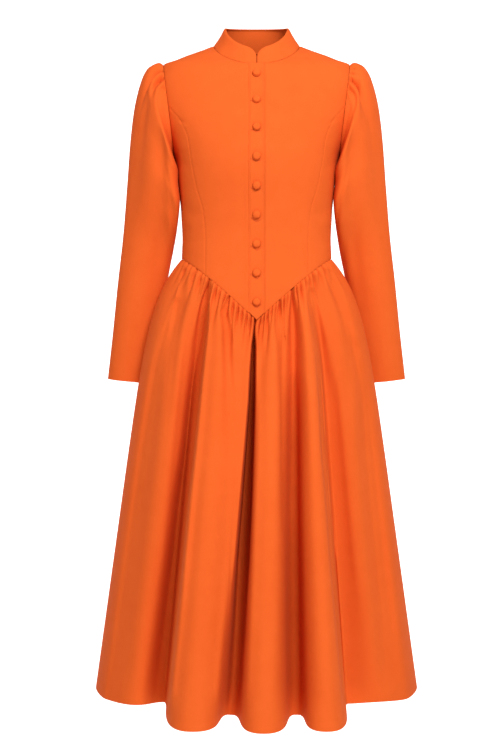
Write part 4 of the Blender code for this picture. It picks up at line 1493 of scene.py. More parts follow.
# ------------ the sleeves
@dataclass
class Sleeves:
    """Two long sleeves, gathered into the armholes at the head, plain at the cuff."""

    torso: Torso
    cutter: Cutter
    cloth: float = 0.0013
    rest_gap: float = 0.0001
    sides: int = 260
    crowding: float = 0.35  # how much denser its points are at the armpit side and less outside
    rings: int = 140
    head_end: float = 3.0  # the row of the table down to which half of the rings lie
    blend: float = 1.5  # the row at which it has left the armhole's seam
    names: tuple[str, ...] = ("outer_x", "outer_z", "inner_x", "inner_z", "centre_y", "inner_y", "half_depth")
    rows: Table = (
        (0.1767, -0.0368, 0.1564, -0.2100, -0.0025, -0.0025, 0.0575),
        (0.1860, -0.0325, 0.1570, -0.2150, -0.0010, -0.0030, 0.0600),
        (0.2015, -0.0382, 0.1555, -0.2220, 0.0010, -0.0120, 0.0615),
        (0.2130, -0.0520, 0.1496, -0.2310, 0.0030, -0.0270, 0.0615),
        (0.2215, -0.0730, 0.1474, -0.2420, 0.0050, -0.0330, 0.0600),
        (0.2325, -0.1170, 0.1476, -0.2620, 0.0100, -0.0290, 0.0565),
        (0.2408, -0.1800, 0.1444, -0.2960, 0.0180, -0.0290, 0.0520),
        (0.2470, -0.2550, 0.1492, -0.3380, 0.0290, -0.0060, 0.0480),
        (0.2558, -0.3530, 0.1608, -0.3980, 0.0420, 0.0360, 0.0435),
        (0.2680, -0.4500, 0.1760, -0.4720, 0.0570, 0.0570, 0.0400),
        (0.2792, -0.5480, 0.1915, -0.5620, 0.0730, 0.0730, 0.0355),
        (0.2900, -0.6365, 0.2045, -0.6452, 0.0860, 0.0860, 0.0320),
    )
    # creases of the head: the angle forward from the shoulder seam at the seam and at the
    # crease's end, the row where it ends, its width in radians and how deep it is
    right_creases: Table = (
        (0.16, 0.14, 2.6, 0.050, 0.0024),
        (0.58, 0.75, 5.6, 0.085, 0.0078),
        (0.86, 1.06, 3.8, 0.075, 0.0070),
        (1.14, 1.18, 2.2, 0.060, 0.0022),
    )
    left_creases: Table = (
        (0.24, 0.22, 2.0, 0.050, 0.0024),
        (0.47, 0.52, 1.8, 0.055, 0.0034),
        (0.66, 0.74, 2.2, 0.060, 0.0044),
        (0.87, 1.16, 5.2, 0.085, 0.0080),
        (1.14, 1.34, 2.6, 0.060, 0.0032),
    )
    back_creases: Table = (
        (-0.12, -0.10, 3.0, 0.050, 0.0028),
        (-0.32, -0.26, 4.2, 0.055, 0.0036),
        (-0.53, -0.46, 3.4, 0.060, 0.0032),
        (-0.74, -0.66, 4.4, 0.060, 0.0034),
        (-0.96, -0.92, 2.6, 0.055, 0.0022),
    )
    crease_depth: float = 1.9  # times the depth in the table
    crease_power: float = 1.2  # how sharp its bottom is: 2 is round
    crease_widens: Pair = (0.75, 1.5)  # its width at the seam, and what it gains
    crease_starts: Pair = (-0.12, 0.35)
    crease_full: float = 0.35  # the share of its length down to which it is full
    lip: float = 0.5  # the ridge behind it, times the depth in the table
    lip_off: float = 1.9  # in widths
    # how one sleeve's back creases and folds differ from the other's: a phase for the left and
    # one for the right sleeve, then by how much and in what steps each thing varies
    sways: Pair = (0.4, 2.9)
    end_sway: Pair = (0.18, 2.1)
    turn_sway: Triple = (0.035, 1.3, 1.7)
    fold_sway: Pair = (0.22, 1.9)
    hem_wave: tuple[float, int, float] = (0.0005, 5, 0.8)  # height, waves round, reach in rows
    # soft folds of the arm: angle, row, how far it spreads round and along, its slant and height
    folds: Table = (
        (1.80, 5.6, 0.30, 1.7, 0.00, -0.0085),
        (2.10, 7.6, 0.36, 1.8, 0.00, -0.0065),
        (1.00, 4.0, 0.14, 1.4, 0.00, -0.0032),
        (0.95, 6.0, 0.30, 2.0, -0.10, -0.0022),
        (0.45, 6.6, 0.26, 1.8, -0.06, 0.0016),
        (2.20, 5.6, 0.22, 0.9, 0.30, -0.0026),
        (2.55, 6.6, 0.22, 0.7, 0.45, -0.0028),
        (2.35, 7.4, 0.26, 0.6, 0.55, 0.0018),
        (2.65, 8.0, 0.24, 0.6, 0.60, -0.0024),
        (-2.30, 6.4, 0.26, 0.9, -0.40, -0.0026),
        (-2.60, 7.5, 0.24, 0.7, -0.50, -0.0026),
        (-0.90, 7.2, 0.36, 2.2, 0.08, -0.0016),
        (1.60, 9.2, 0.34, 1.5, 0.10, -0.0014),
    )

    def _base(self, stations: Array, turns: Array) -> Net:
        """The sleeve's outer face at +X without creases.

        Args:
            stations: The place of each ring in the table's rows.
            turns: Angles round the arm, forward from the shoulder seam.
        Returns:
            The points of each ring.
        """
        torso = self.torso
        knots = np.arange(len(self.rows))
        size = {n: smooth(knots, column(self.rows, self.names, n), stations)[:, None] for n in self.names}
        out, ahead = np.cos(turns), np.sin(turns)
        x = (size["outer_x"] + size["inner_x"]) / 2 + (size["outer_x"] - size["inner_x"]) / 2 * out
        z = (size["outer_z"] + size["inner_z"]) / 2 + (size["outer_z"] - size["inner_z"]) / 2 * out
        y = size["centre_y"] - size["half_depth"] * ahead
        y = y + (size["inner_y"] - size["centre_y"]) * (1 - out) / 2
        net = np.stack([x, y, z], axis=-1)
        half = (torso.shoulder_end - torso.underarm) / 2
        seam_z = (torso.shoulder_end + torso.underarm) / 2 + half * out
        reach = np.where(ahead > 0, torso.armhole_front, torso.armhole_back)
        seam = np.stack([torso.armhole_x(seam_z), -reach * ahead, seam_z], axis=-1)
        share = np.clip(1 - stations / self.blend, 0, 1)[:, None, None] ** 2
        return net + share * (seam - net[:1]) + (self.rest_gap, 0, 0)

    def _creases(self, front: Table, sway: float) -> Table:
        """All creases of one sleeve's head.

        Args:
            front: Its front creases.
            sway: What varies one sleeve's back creases from the other's.
        Returns:
            Rows of the front and back creases.
        """
        rows = list(front)
        share, end_step = self.end_sway
        most, step, row_step = self.turn_sway
        for i, (start, finish, end, width, depth) in enumerate(self.back_creases, len(front)):
            start = start + most * math.sin(step * sway + row_step * i)
            rows.append((start, finish, end * (1 + share * math.sin(sway + end_step * i)), width, depth))
        return tuple(rows)

    def _relief(self, stations: Array, turns: Array, creases: Table, sway: float) -> Array:
        """Creases and folds of one sleeve.

        Args:
            stations: The place of each ring in the table's rows.
            turns: Angles round the arm.
            creases: Rows of the head's creases.
            sway: What varies one sleeve's folds from the other's.
        Returns:
            How far each point is moved out.
        """
        ring, turn = np.meshgrid(stations, (turns + math.pi) % FULL - math.pi, indexing="ij")
        rise = np.zeros(ring.shape)
        for start, finish, end, width, depth in creases:
            share = np.clip(ring / end, 0, 1)
            spread = width * (self.crease_widens[0] + self.crease_widens[1] * share)
            strength = ramp(ring, *self.crease_starts) * (1 - ramp(ring, self.crease_full * end, end))
            apart = turn - (start + (finish - start) * share)
            rise -= self.crease_depth * depth * bell(apart, spread, self.crease_power) * strength
            rise += self.lip * depth * bell(apart - self.lip_off * spread, spread) * strength
        for i, (at, where, spread, length, slant, height) in enumerate(self.folds):
            where = where + self.fold_sway[0] * math.sin(sway + self.fold_sway[1] * i)
            apart = (turn - at + math.pi) % FULL - math.pi
            rise += height * bell(apart - slant * (ring - where), spread) * bell(ring - where, length)
        height, waves, reach = self.hem_wave
        return rise + height * np.sin(waves * turn + sway) * bell(len(self.rows) - 1 - ring, reach)

    def build(self) -> None:
        """Makes both sleeves."""
        last, upper = len(self.rows) - 1, self.rings // 2
        stations = np.concatenate([
            np.linspace(0, self.head_end, upper, endpoint=False),
            np.linspace(self.head_end, last, self.rings - upper),
        ])
        even = np.linspace(0, FULL, self.sides, endpoint=False)
        turns = even - self.crowding * np.sin(even)
        base = self._base(stations, turns)
        normals = normals_of(base, closed=True)
        middle = base.mean(axis=1, keepdims=True)
        normals *= np.sign(np.sum(normals * (base - middle), axis=-1, keepdims=True))
        normals[0, :, 0] = np.minimum(normals[0, :, 0], 0)
        normals[0] = unit(normals[0])
        for side, flip, front, sway in (
            ("left", 1.0, self.left_creases, self.sways[0]),
            ("right", -1.0, self.right_creases, self.sways[1]),
        ):
            creases = self._creases(front, sway)
            outer = base + self._relief(stations, turns, creases, sway)[..., None] * normals
            turn = np.array((flip, 1, 1))
            name, outward = f"sleeve_{side}_cloth", normals * turn
            piece = self.cutter.sheet(name, outer * turn, outward, self.cloth, closed=True)
            hangs_from = [f"front_centre_{side}", f"front_side_{side}", "back_bodice"]
            self.cutter.declare(piece, outer, f"sleeve_{side}", Hold.HUNG, hangs_from, closed=True)


# ------------ the skirt
# valleys and edges of the skirt's front, read down it, in tenths of a millimetre
VALLEYS: tuple[Trough, ...] = (
    Trough((  # bed left of the first big fold
        (-4370, -857, 29, 20, 38, 23),
        (-4826, -961, 38, 120, 66, 23),
        (-5586, -1075, 95, 260, 95, 23),
        (-6346, -1189, 123, 320, 95, 23),
        (-6726, -1237, 133, 340, 95, 23),
        (-7676, -1322, 123, 370, 104, 23),
        (-8626, -1446, 133, 370, 114, 23),
        (-9766, -1579, 162, 350, 114, 23),
        (-10906, -1721, 190, 300, 123, 23),
        (-12046, -1873, 228, 200, 133, 23),
        (-12464, -1911, 228, 150, 133, 23),
    )),
    Trough((  # sharp left edge of the first big fold
        (-4370, -828, 4, -30, 11, 57),
        (-4826, -912, 4, -80, 13, 66),
        (-5586, -965, 4, -110, 13, 86),
        (-6346, -1053, 4, -140, 13, 95),
        (-6726, -1087, 4, -170, 13, 95),
        (-7676, -1184, 4, -220, 13, 104),
        (-8626, -1292, 4, -260, 13, 104),
        (-9766, -1398, 4, -300, 13, 104),
        (-10906, -1516, 4, -260, 15, 114),
        (-12046, -1634, 4, -260, 17, 104),
        (-12464, -1668, 4, -240, 19, 104),
    )),
    Trough((  # sharp right edge of the first big fold
        (-5396, -95, 4, -30, 114, 11),
        (-5681, -110, 4, -80, 152, 11),
        (-6726, -152, 4, -240, 190, 13),
        (-7676, -220, 4, -340, 209, 15),
        (-8626, -296, 4, -430, 190, 17),
        (-9766, -391, 4, -500, 162, 19),
        (-10906, -505, 4, -420, 152, 57),
        (-12046, -612, 4, -300, 143, 95),
        (-12464, -644, 4, -260, 143, 95),
    )),
    Trough((  # slit in the centre
        (-5168, -34, 15, 80, 15, 15),
        (-5396, -65, 38, 240, 15, 19),
        (-5681, -84, 51, 360, 15, 19),
        (-6156, -112, 72, 460, 17, 19),
        (-6726, -133, 87, 540, 19, 19),
        (-7676, -201, 129, 600, 23, 23),
        (-8626, -277, 171, 620, 27, 27),
        (-9766, -369, 213, 580, 30, 30),
        (-10906, -410, 162, 420, 76, 47),
        (-12046, -486, 152, 300, 114, 66),
        (-12464, -505, 152, 260, 114, 66),
    )),
    Trough((  # left edge of the centre fold
        (-5244, 0, 4, -40, 11, 57),
        (-5681, -11, 4, -90, 11, 76),
        (-6726, -23, 4, -150, 13, 95),
        (-7676, -49, 4, -160, 15, 114),
        (-8626, -80, 4, -160, 15, 114),
        (-9766, -125, 4, -140, 17, 114),
        (-10906, -171, 4, -130, 17, 114),
        (-12046, -234, 4, -100, 19, 114),
        (-12464, -258, 4, -80, 19, 114),
    )),
    Trough((  # left shoulder of the third fold
        (-6346, 825, 38, 20, 95, 76),
        (-6726, 844, 29, 40, 76, 95),
        (-7676, 844, 29, 50, 76, 114),
        (-8626, 863, 38, 60, 76, 133),
        (-9766, 882, 38, 80, 76, 152),
        (-10906, 901, 38, 90, 76, 171),
        (-12046, 920, 47, 90, 76, 190),
        (-12464, 939, 57, 90, 76, 190),
    )),
    Trough((  # foot of the third fold
        (-4636, 1034, 19, 40, 19, 57),
        (-5016, 1110, 9, 80, 19, 76),
        (-5586, 1201, 11, 120, 19, 95),
        (-6213, 1260, 11, 160, 19, 152),
        (-6726, 1303, 8, 200, 23, 247),
        (-7676, 1341, 27, 250, 23, 323),
        (-8626, 1421, 27, 270, 23, 342),
        (-9766, 1499, 38, 280, 23, 361),
        (-10906, 1585, 32, 260, 23, 380),
        (-12046, 1664, 30, 200, 23, 418),
        (-12464, 1689, 29, 180, 23, 418),
    )),
    Trough((  # outer right
        (-5586, 1813, 38, 50, 76, 95),
        (-6346, 1984, 57, 120, 95, 133),
        (-6726, 2031, 57, 170, 114, 133),
        (-7676, 2098, 76, 210, 152, 152),
        (-8626, 2193, 76, 230, 171, 171),
        (-9766, 2307, 76, 230, 190, 171),
        (-10906, 2421, 76, 180, 190, 190),
        (-12046, 2497, 76, 100, 190, 209),
    )),
    Trough((  # outer left
        (-4826, -1569, 38, 50, 57, 76),
        (-6080, -1892, 57, 80, 95, 133),
        (-6726, -1987, 57, 100, 114, 133),
        (-7676, -2139, 76, 120, 152, 171),
        (-8626, -2272, 76, 120, 152, 171),
        (-9766, -2424, 76, 110, 171, 190),
        (-10906, -2567, 76, 90, 171, 190),
        (-12046, -2671, 76, 50, 171, 190),
    )),
    Trough((  # on the first big fold
        (-4750, -538, 13, 60, 38, 38),
        (-5016, -608, 19, 120, 42, 42),
        (-5586, -581, 38, 140, 66, 66),
        (-6080, -562, 38, 100, 76, 76),
        (-6726, -553, 47, 60, 95, 95),
        (-7486, -543, 38, 0, 95, 95),
    )),
    Trough((  # between the centre and third folds
        (-4560, 663, 19, 50, 38, 46),
        (-5206, 692, 57, 120, 57, 76),
        (-5966, 701, 86, 140, 76, 114),
        (-6726, 701, 86, 120, 95, 133),
        (-7676, 711, 95, 70, 95, 152),
        (-9006, 730, 95, 0, 114, 152),
    )),
    Trough((  # on the centre fold
        (-4826, 426, 19, 50, 29, 29),
        (-5586, 464, 29, 90, 57, 47),
        (-6346, 464, 19, 40, 76, 76),
        (-6916, 464, 19, 0, 76, 76),
    )),
    Trough((  # high right
        (-4256, 1433, 19, 30, 38, 57),
        (-5396, 1718, 38, 80, 76, 95),
        (-6156, 1813, 38, 50, 95, 114),
        (-6726, 1851, 38, 0, 114, 114),
    )),
    Trough((  # high left
        (-4256, -1398, 19, 40, 38, 38),
        (-5016, -1531, 38, 90, 57, 76),
        (-5776, -1626, 38, 70, 95, 95),
        (-6726, -1721, 38, 20, 114, 114),
        (-7296, -1778, 38, 0, 114, 114),
    )),
    Trough((  # floor between the centre and third folds
        (-6194, 692, 76, 0, 76, 76),
        (-6726, 682, 86, 120, 76, 66),
        (-7676, 663, 114, 240, 86, 57),
        (-8626, 644, 133, 300, 95, 57),
        (-9766, 635, 152, 320, 104, 57),
        (-10906, 625, 171, 300, 114, 57),
        (-12046, 616, 190, 240, 133, 57),
        (-12464, 616, 190, 200, 133, 57),
    )),
    Trough((  # right edge of the third fold
        (-5814, 1129, 38, 0, 19, 23),
        (-6726, 1197, 46, 300, 15, 23),
        (-7676, 1239, 66, 500, 15, 29),
        (-8626, 1326, 49, 520, 15, 29),
        (-9766, 1406, 65, 620, 15, 29),
        (-10906, 1511, 42, 600, 15, 29),
        (-12046, 1611, 30, 500, 15, 23),
        (-12464, 1642, 29, 440, 15, 23),
    )),
)


@dataclass(frozen=True)
class Half:
    """One panel of the skirt: its node, its tables and what it hangs from."""

    node: str
    side: Side
    folds: Table
    gathers: Table
    soft: Table
    hangs_from: tuple[str, ...]


@dataclass
class Skirt:
    """Front and back panels gathered on to the waist seam, falling in big soft folds."""

    torso: Torso
    cutter: Cutter
    cloth: float = 0.0014
    seam_half: float = 0.00004
    seam_drop: float = 0.0003
    hem_z: float = -1.232
    # how far the cloth swings out just below the waist, as a share of the whole: within what
    # share of the length, then at the centre line and at the sides, and how it grows between them
    hip_length: float = 0.080
    hip_front: float = 0.10
    hip_back: float = 0.06
    hip_side: float = 0.31
    hip_power_front: float = 2.0
    hip_power_back: float = 8.0
    columns: int = 560
    levels: int = 86
    level_power: float = 1.65  # rows are denser near the waist
    fine_places: int = 4000
    column_shares: Pair = (0.55, 0.45)  # by the waist's length and by the hem's
    sharp: tuple[float, ...] = (3.30, 4.85, 8.75)  # places in the front's table with sharp banks
    sharp_density: float = 2.2
    sharp_reach: float = 0.22
    # lengths below are shares of the skirt's
    puff: float = 0.0030  # fullness below the seam: its height, where it has risen and sunk
    puff_rises: float = 0.007
    puff_sinks: float = 0.060
    # the round cloth between two gathers: how far it stands out as a share of its width, the
    # share of that at the seam, where it is full, where it fades, and its section
    round_up: float = 0.50
    round_at_seam: float = 0.45
    round_full: float = 0.010
    round_fades: Pair = (0.012, 0.075)
    round_section: Pair = (1.02, 0.6)
    # gathers: depth in the table's, what they drift and widen by, the strength at the seam,
    # where they are full, where they fade in their own lengths, and how sharp they are
    gather_depth: float = 1.75
    gather_drift: Pair = (0.003, 2.9)
    gather_widens: Triple = (1.1, 2.2, 1.2)
    gather_at_seam: float = 0.35
    gather_full: float = 0.02
    gather_fades: Pair = (0.10, 1.6)
    gather_power: float = 1.7
    # soft folds: how far before and after its start and end one rises and sinks
    soft_rises: Pair = (-0.04, 0.10)
    soft_sinks: Pair = (-0.18, 0.06)
    # how far from the side seams relief and valleys fade, in rows of the fold table
    relief_fade: float = 0.35
    valley_fade: float = 0.10
    top_share: float = 0.05  # the part of its length in which gathers stand out level
    valleys: tuple[Trough, ...] = VALLEYS
    names: tuple[str, ...] = ("waist_x", "hem_x", "hem_y", "heading", "run", "lift")
    front_folds: Table = (
        (-0.1425, -0.3110, 0.0600, -88, 0.09, 0.001),
        (-0.1300, -0.2830, -0.0380, -50, 0.05, 0.000),
        (-0.1120, -0.2250, -0.0990, -8, 0.07, 0.004),
        (-0.0910, -0.1740, -0.0680, 8, 0.05, 0.002),
        (-0.0500, -0.1160, -0.2700, -4, 0.20, 0.000),
        (0.0000, -0.0485, -0.1600, 0, 0.09, 0.002),
        (0.0320, 0.0110, -0.2830, 0, 0.17, 0.000),
        (0.0620, 0.0710, -0.1600, 0, 0.08, 0.002),
        (0.0800, 0.1235, -0.2700, 4, 0.17, 0.000),
        (0.0990, 0.1700, -0.0800, 2, 0.05, 0.002),
        (0.1160, 0.2250, -0.0720, 14, 0.07, 0.003),
        (0.1310, 0.2820, -0.0360, 52, 0.05, 0.000),
        (0.1425, 0.3110, 0.0600, 88, 0.09, 0.001),
    )
    back_folds: Table = (
        (0.1425, 0.3110, 0.0600, 92, 0.09, 0.001),
        (0.1330, 0.2560, 0.1080, 130, 0.05, 0.003),
        (0.1180, 0.2480, 0.1900, 125, 0.12, 0.000),
        (0.0960, 0.1640, 0.1680, 175, 0.05, 0.003),
        (0.0720, 0.1230, 0.2620, 172, 0.14, 0.000),
        (0.0380, 0.0560, 0.1860, 180, 0.06, 0.002),
        (0.0020, -0.0080, 0.2780, 180, 0.15, 0.000),
        (-0.0350, -0.0700, 0.1850, 180, 0.06, 0.002),
        (-0.0700, -0.1320, 0.2580, 188, 0.14, 0.000),
        (-0.0950, -0.1700, 0.1620, 185, 0.05, 0.003),
        (-0.1180, -0.2460, 0.1880, 235, 0.12, 0.000),
        (-0.1330, -0.2560, 0.1060, 230, 0.05, 0.003),
        (-0.1425, -0.3110, 0.0600, 268, 0.09, 0.001),
    )
    # gathers of the front: where each starts on the waist seam, its width there, its depth, and
    # its length
    gather_names: tuple[str, ...] = ("waist_x", "width", "depth", "length")
    front_gathers: Table = (
        (-0.1390, 0.0016, 0.0026, 0.050), (-0.1340, 0.0016, 0.0030, 0.070),
        (-0.1275, 0.0023, 0.0048, 0.110), (-0.1208, 0.0017, 0.0032, 0.060),
        (-0.1117, 0.0025, 0.0060, 0.130), (-0.1016, 0.0018, 0.0034, 0.070),
        (-0.0950, 0.0015, 0.0026, 0.045), (-0.0878, 0.0023, 0.0056, 0.150),
        (-0.0800, 0.0016, 0.0030, 0.055), (-0.0731, 0.0018, 0.0040, 0.080),
        (-0.0658, 0.0017, 0.0036, 0.100), (-0.0566, 0.0018, 0.0042, 0.075),
        (-0.0502, 0.0016, 0.0030, 0.050), (-0.0420, 0.0019, 0.0040, 0.110),
        (-0.0333, 0.0018, 0.0042, 0.085), (-0.0254, 0.0017, 0.0034, 0.060),
        (-0.0175, 0.0016, 0.0032, 0.090), (-0.0100, 0.0016, 0.0036, 0.070),
        (0.0075, 0.0016, 0.0030, 0.060), (0.0140, 0.0016, 0.0030, 0.085),
        (0.0205, 0.0018, 0.0042, 0.110), (0.0280, 0.0016, 0.0030, 0.055),
        (0.0352, 0.0018, 0.0040, 0.090), (0.0420, 0.0017, 0.0036, 0.065),
        (0.0500, 0.0018, 0.0040, 0.120), (0.0570, 0.0016, 0.0032, 0.055),
        (0.0646, 0.0019, 0.0044, 0.130), (0.0725, 0.0016, 0.0030, 0.060),
        (0.0802, 0.0018, 0.0042, 0.110), (0.0892, 0.0023, 0.0052, 0.140),
        (0.0960, 0.0016, 0.0030, 0.055), (0.1031, 0.0024, 0.0054, 0.110),
        (0.1120, 0.0017, 0.0034, 0.065), (0.1215, 0.0024, 0.0052, 0.120),
        (0.1290, 0.0016, 0.0030, 0.060), (0.1343, 0.0016, 0.0030, 0.080),
        (0.1395, 0.0015, 0.0024, 0.045),
    )
    # soft folds between the big ones: the place in the fold table at the top and at the hem,
    # where they start and end down the skirt, their width in rows of that table, their height
    front_soft: Table = (
        (2.35, 2.30, 0.15, 0.75, 0.22, 0.0040),
        (9.70, 9.75, 0.25, 0.80, 0.20, 0.0030),
        (4.60, 4.50, 0.20, 0.80, 0.22, 0.0030),
        (6.45, 6.40, 0.10, 0.60, 0.16, -0.0030),
    )
    back_soft: Table = (
        (1.50, 1.60, 0.05, 0.60, 0.22, -0.0050),
        (3.45, 3.40, 0.03, 0.45, 0.18, 0.0040),
        (5.40, 5.55, 0.02, 0.40, 0.16, -0.0040),
        (6.40, 6.50, 0.20, 0.80, 0.18, -0.0040),
        (7.60, 7.45, 0.03, 0.35, 0.16, 0.0040),
        (9.40, 9.45, 0.05, 0.60, 0.18, -0.0050),
        (10.50, 10.55, 0.10, 0.70, 0.20, 0.0040),
    )

    # gathers of the back: how many, where the first and last lie, then the mean of each column
    # and how it varies: by how much, in what step and from what start
    back_count: int = 38
    back_reach: Pair = (-0.1405, 0.1405)
    back_spacing: Quad = (0.5, 0.22, 2.7, 0.0)
    back_width: Quad = (0.0017, 0.0002, 1.9, 0.0)
    back_depth: Quad = (0.0035, 0.0009, 3.1, 0.5)
    back_length: Quad = (0.085, 0.040, 2.3, 1.1)

    def _hem(self, folds: Table, at: Array) -> Net:
        """The hem in plan.

        Args:
            folds: The panel's fold table.
            at: Places counted in its rows.
        Returns:
            The hem's x and y there.
        """
        points = np.stack([column(folds, self.names, n) for n in ("hem_x", "hem_y")], axis=-1)
        heading = np.radians(column(folds, self.names, "heading"))
        run = column(folds, self.names, "run")
        tangents = run[:, None] * np.stack([np.cos(heading), np.sin(heading)], axis=-1)
        i = np.clip(np.floor(at).astype(int), 0, len(folds) - 2)
        t = (at - i)[:, None]
        return (
            points[i] * (1 + 2 * t) * (1 - t) ** 2
            + points[i + 1] * t * t * (3 - 2 * t)
            + tangents[i] * t * (1 - t) ** 2
            - tangents[i + 1] * t * t * (1 - t)
        )

    def _places(self, half: Half) -> Array:
        """Where the columns lie, dense where waist or hem is long and at sharp banks.

        Args:
            half: The panel.
        Returns:
            Each column's place in the fold table.
        """
        folds = half.folds
        fine = np.linspace(0, len(folds) - 1, self.fine_places)
        x = smooth(np.arange(len(folds)), column(folds, self.names, "waist_x"), fine)
        waist = np.abs(np.gradient(x))
        hem = np.linalg.norm(np.gradient(self._hem(folds, fine), axis=0), axis=1)
        density = self.column_shares[0] * waist / waist.sum() + self.column_shares[1] * hem / hem.sum()
        if half.side is Side.FRONT:
            near = sum(bell(fine - edge, self.sharp_reach) for edge in self.sharp)
            density = density * (1 + self.sharp_density * near)
        total = np.concatenate([[0], np.cumsum(density)[:-1]])
        return np.interp(np.linspace(0, total[-1], self.columns + 1), total, fine)

    def _base(self, half: Half, at: Array, down: Array) -> tuple[Net, Net]:
        """The panel's outer face without relief.

        Args:
            half: The panel.
            at: Each column's place in the fold table.
            down: Each row's share of the way from waist to hem.
        Returns:
            Its points, and the level outward direction at the top of each column.
        """
        torso, folds, front = self.torso, half.folds, half.side is Side.FRONT
        rows = np.arange(len(folds))
        x = smooth(rows, column(folds, self.names, "waist_x"), at)
        z = torso.waist_z(x, half.side)
        angle = torso.angle_at(x, z, half.side)
        start = torso.point(angle, z, half.side) - (0, 0, self.seam_drop)
        outward = unit(torso.normal(angle, z, half.side) * (1, 1, 0))
        sideways = (np.abs(x) / torso.waist_half) ** (self.hip_power_front if front else self.hip_power_back)
        middle = self.hip_front if front else self.hip_back
        hip = middle + (self.hip_side - middle) * sideways
        level = down[:, None]
        flare = hip * (1 - np.exp(-level / self.hip_length))
        flare = flare + (1 - hip * (1 - math.exp(-1 / self.hip_length))) * level
        plan = start[:, :2] + flare[..., None] * (self._hem(folds, at) - start[:, :2])
        hem_z = self.hem_z + smooth(rows, column(folds, self.names, "lift"), at)
        height = start[:, 2] + (hem_z - start[:, 2]) * level
        return np.concatenate([plan, height[..., None]], axis=-1), outward

    def _back_gathers(self) -> Table:
        """Gathers of the back seam, uneven like those of the front.

        Returns:
            Rows like those of the front.
        """

        def varied(rule: Quad, i: int) -> float:
            """A column's value in one row."""
            mean, most, step, start = rule
            return mean + most * math.sin(step * i + start)

        first, last = self.back_reach
        return tuple(
            (
                first + (last - first) * (i + varied(self.back_spacing, i)) / self.back_count,
                varied(self.back_width, i),
                varied(self.back_depth, i),
                varied(self.back_length, i),
            )
            for i in range(self.back_count)
        )

    def _rounds(self, level: Array, x: Array, gathers: Table) -> Array:
        """The round cloth between neighbouring gathers.

        Args:
            level: Each point's share of the way down.
            x: Where its column starts on the waist seam.
            gathers: The panel's gathers.
        Returns:
            How far each point is moved out.
        """
        starts = np.sort(column(gathers, self.gather_names, "waist_x"))
        i = np.clip(np.searchsorted(starts, x) - 1, 0, len(starts) - 2)
        gap = starts[i + 1] - starts[i]
        across = np.clip(2 * (x - starts[i]) / gap - 1, -1, 1)
        grown = self.round_at_seam + (1 - self.round_at_seam) * ramp(level, 0, self.round_full)
        crown, foot = self.round_section
        section = self.round_up * gap * (np.sqrt(crown - across**2) - foot)
        return section * grown * (1 - ramp(level, *self.round_fades))

    def _relief(self, half: Half, at: Array, down: Array) -> Array:
        """Gathers, the fullness below the seam and soft folds.

        Args:
            half: The panel.
            at: Each column's place in the fold table.
            down: Each row's share of the way from waist to hem.
        Returns:
            How far each point is moved out.
        """
        waist_x = smooth(np.arange(len(half.folds)), column(half.folds, self.names, "waist_x"), at)
        level, x = np.meshgrid(down, waist_x, indexing="ij")
        rise = self.puff * (1 - np.exp(-level / self.puff_rises)) * np.exp(-level / self.puff_sinks)
        rise = rise + self._rounds(level, x, half.gathers)
        most, step = self.gather_drift
        narrow, gain, longest = self.gather_widens
        full, faded = self.gather_fades
        for i, (where, width, depth, length) in enumerate(half.gathers):
            drift = most * math.sin(step * i) * level / length
            spread = width * (narrow + gain * np.clip(level / length, 0, longest))
            strength = self.gather_at_seam + (1 - self.gather_at_seam) * ramp(level, 0, self.gather_full)
            strength = strength * (1 - ramp(level, full * length, faded * length))
            shape = bell(x - where - drift, spread, self.gather_power)
            rise = rise - self.gather_depth * depth * shape * strength
        for top, hem, start, end, width, height in half.soft:
            strength = ramp(level, *(start + move for move in self.soft_rises))
            strength = strength * (1 - ramp(level, *(end + move for move in self.soft_sinks)))
            rise = rise + height * bell(at - (top + (hem - top) * level), width) * strength
        return rise * self._fade(half, at, self.relief_fade)

    def _fade(self, half: Half, at: Array, over: float) -> Array:
        """1, and less at the side seams, where the two panels have to agree."""
        return ramp(np.minimum(at, len(half.folds) - 1 - at), 0, over)[None, :]

    def _halves(self) -> tuple[Half, Half]:
        """The front and the back panel.

        Returns:
            Both.
        """
        fronts = tuple(f"front_{part}_{side}" for part in ("centre", "side") for side in ("right", "left"))
        back = self._back_gathers()
        return (
            Half("skirt_front", Side.FRONT, self.front_folds, self.front_gathers, self.front_soft, fronts),
            Half("skirt_back", Side.BACK, self.back_folds, back, self.back_soft, ("back_bodice",)),
        )

    def build(self) -> None:
        """Makes both panels; their walls agree along the side seams."""
        down = np.linspace(0, 1, self.levels + 1) ** self.level_power
        halves, parts = self._halves(), []
        for half in halves:
            at = self._places(half)
            base, outward = self._base(half, at, down)
            if half.side is Side.FRONT:
                x, z = seen(base)
                depth = sum(valley.rise(x, z) for valley in self.valleys)
                depth = depth * self._fade(half, at, self.valley_fade)
                base = base + depth[..., None] * unit(np.array(VIEWPOINT) - base)
            parts.append((base, outward, self._relief(half, at, down)))
        ring = np.concatenate([base[:, :-1] for base, _, _ in parts], axis=1)
        normals = normals_of(ring, closed=True)
        out_ring = np.concatenate([outward[:-1] for _, outward, _ in parts])
        normals *= np.sign(np.sum(normals * out_ring, axis=-1).mean())
        normals = np.concatenate([normals, normals[:, :1]], axis=1)
        level_share = np.exp(-down / self.top_share)[:, None, None]
        first = 0
        for half, (base, outward, rise) in zip(halves, parts):
            face = normals[:, first:first + base.shape[1]]
            outer = base + rise[..., None] * unit(level_share * outward + (1 - level_share) * face)
            for end, beside in ((0, 1), (-1, -2)):
                outer[:, end] += self.seam_half * unit(outer[:, beside] - outer[:, end])
            piece = self.cutter.sheet(f"{half.node}_cloth", outer, face, self.cloth)
            self.cutter.declare(piece, outer, half.node, Hold.GATHERED, half.hangs_from)
            first += base.shape[1] - 1


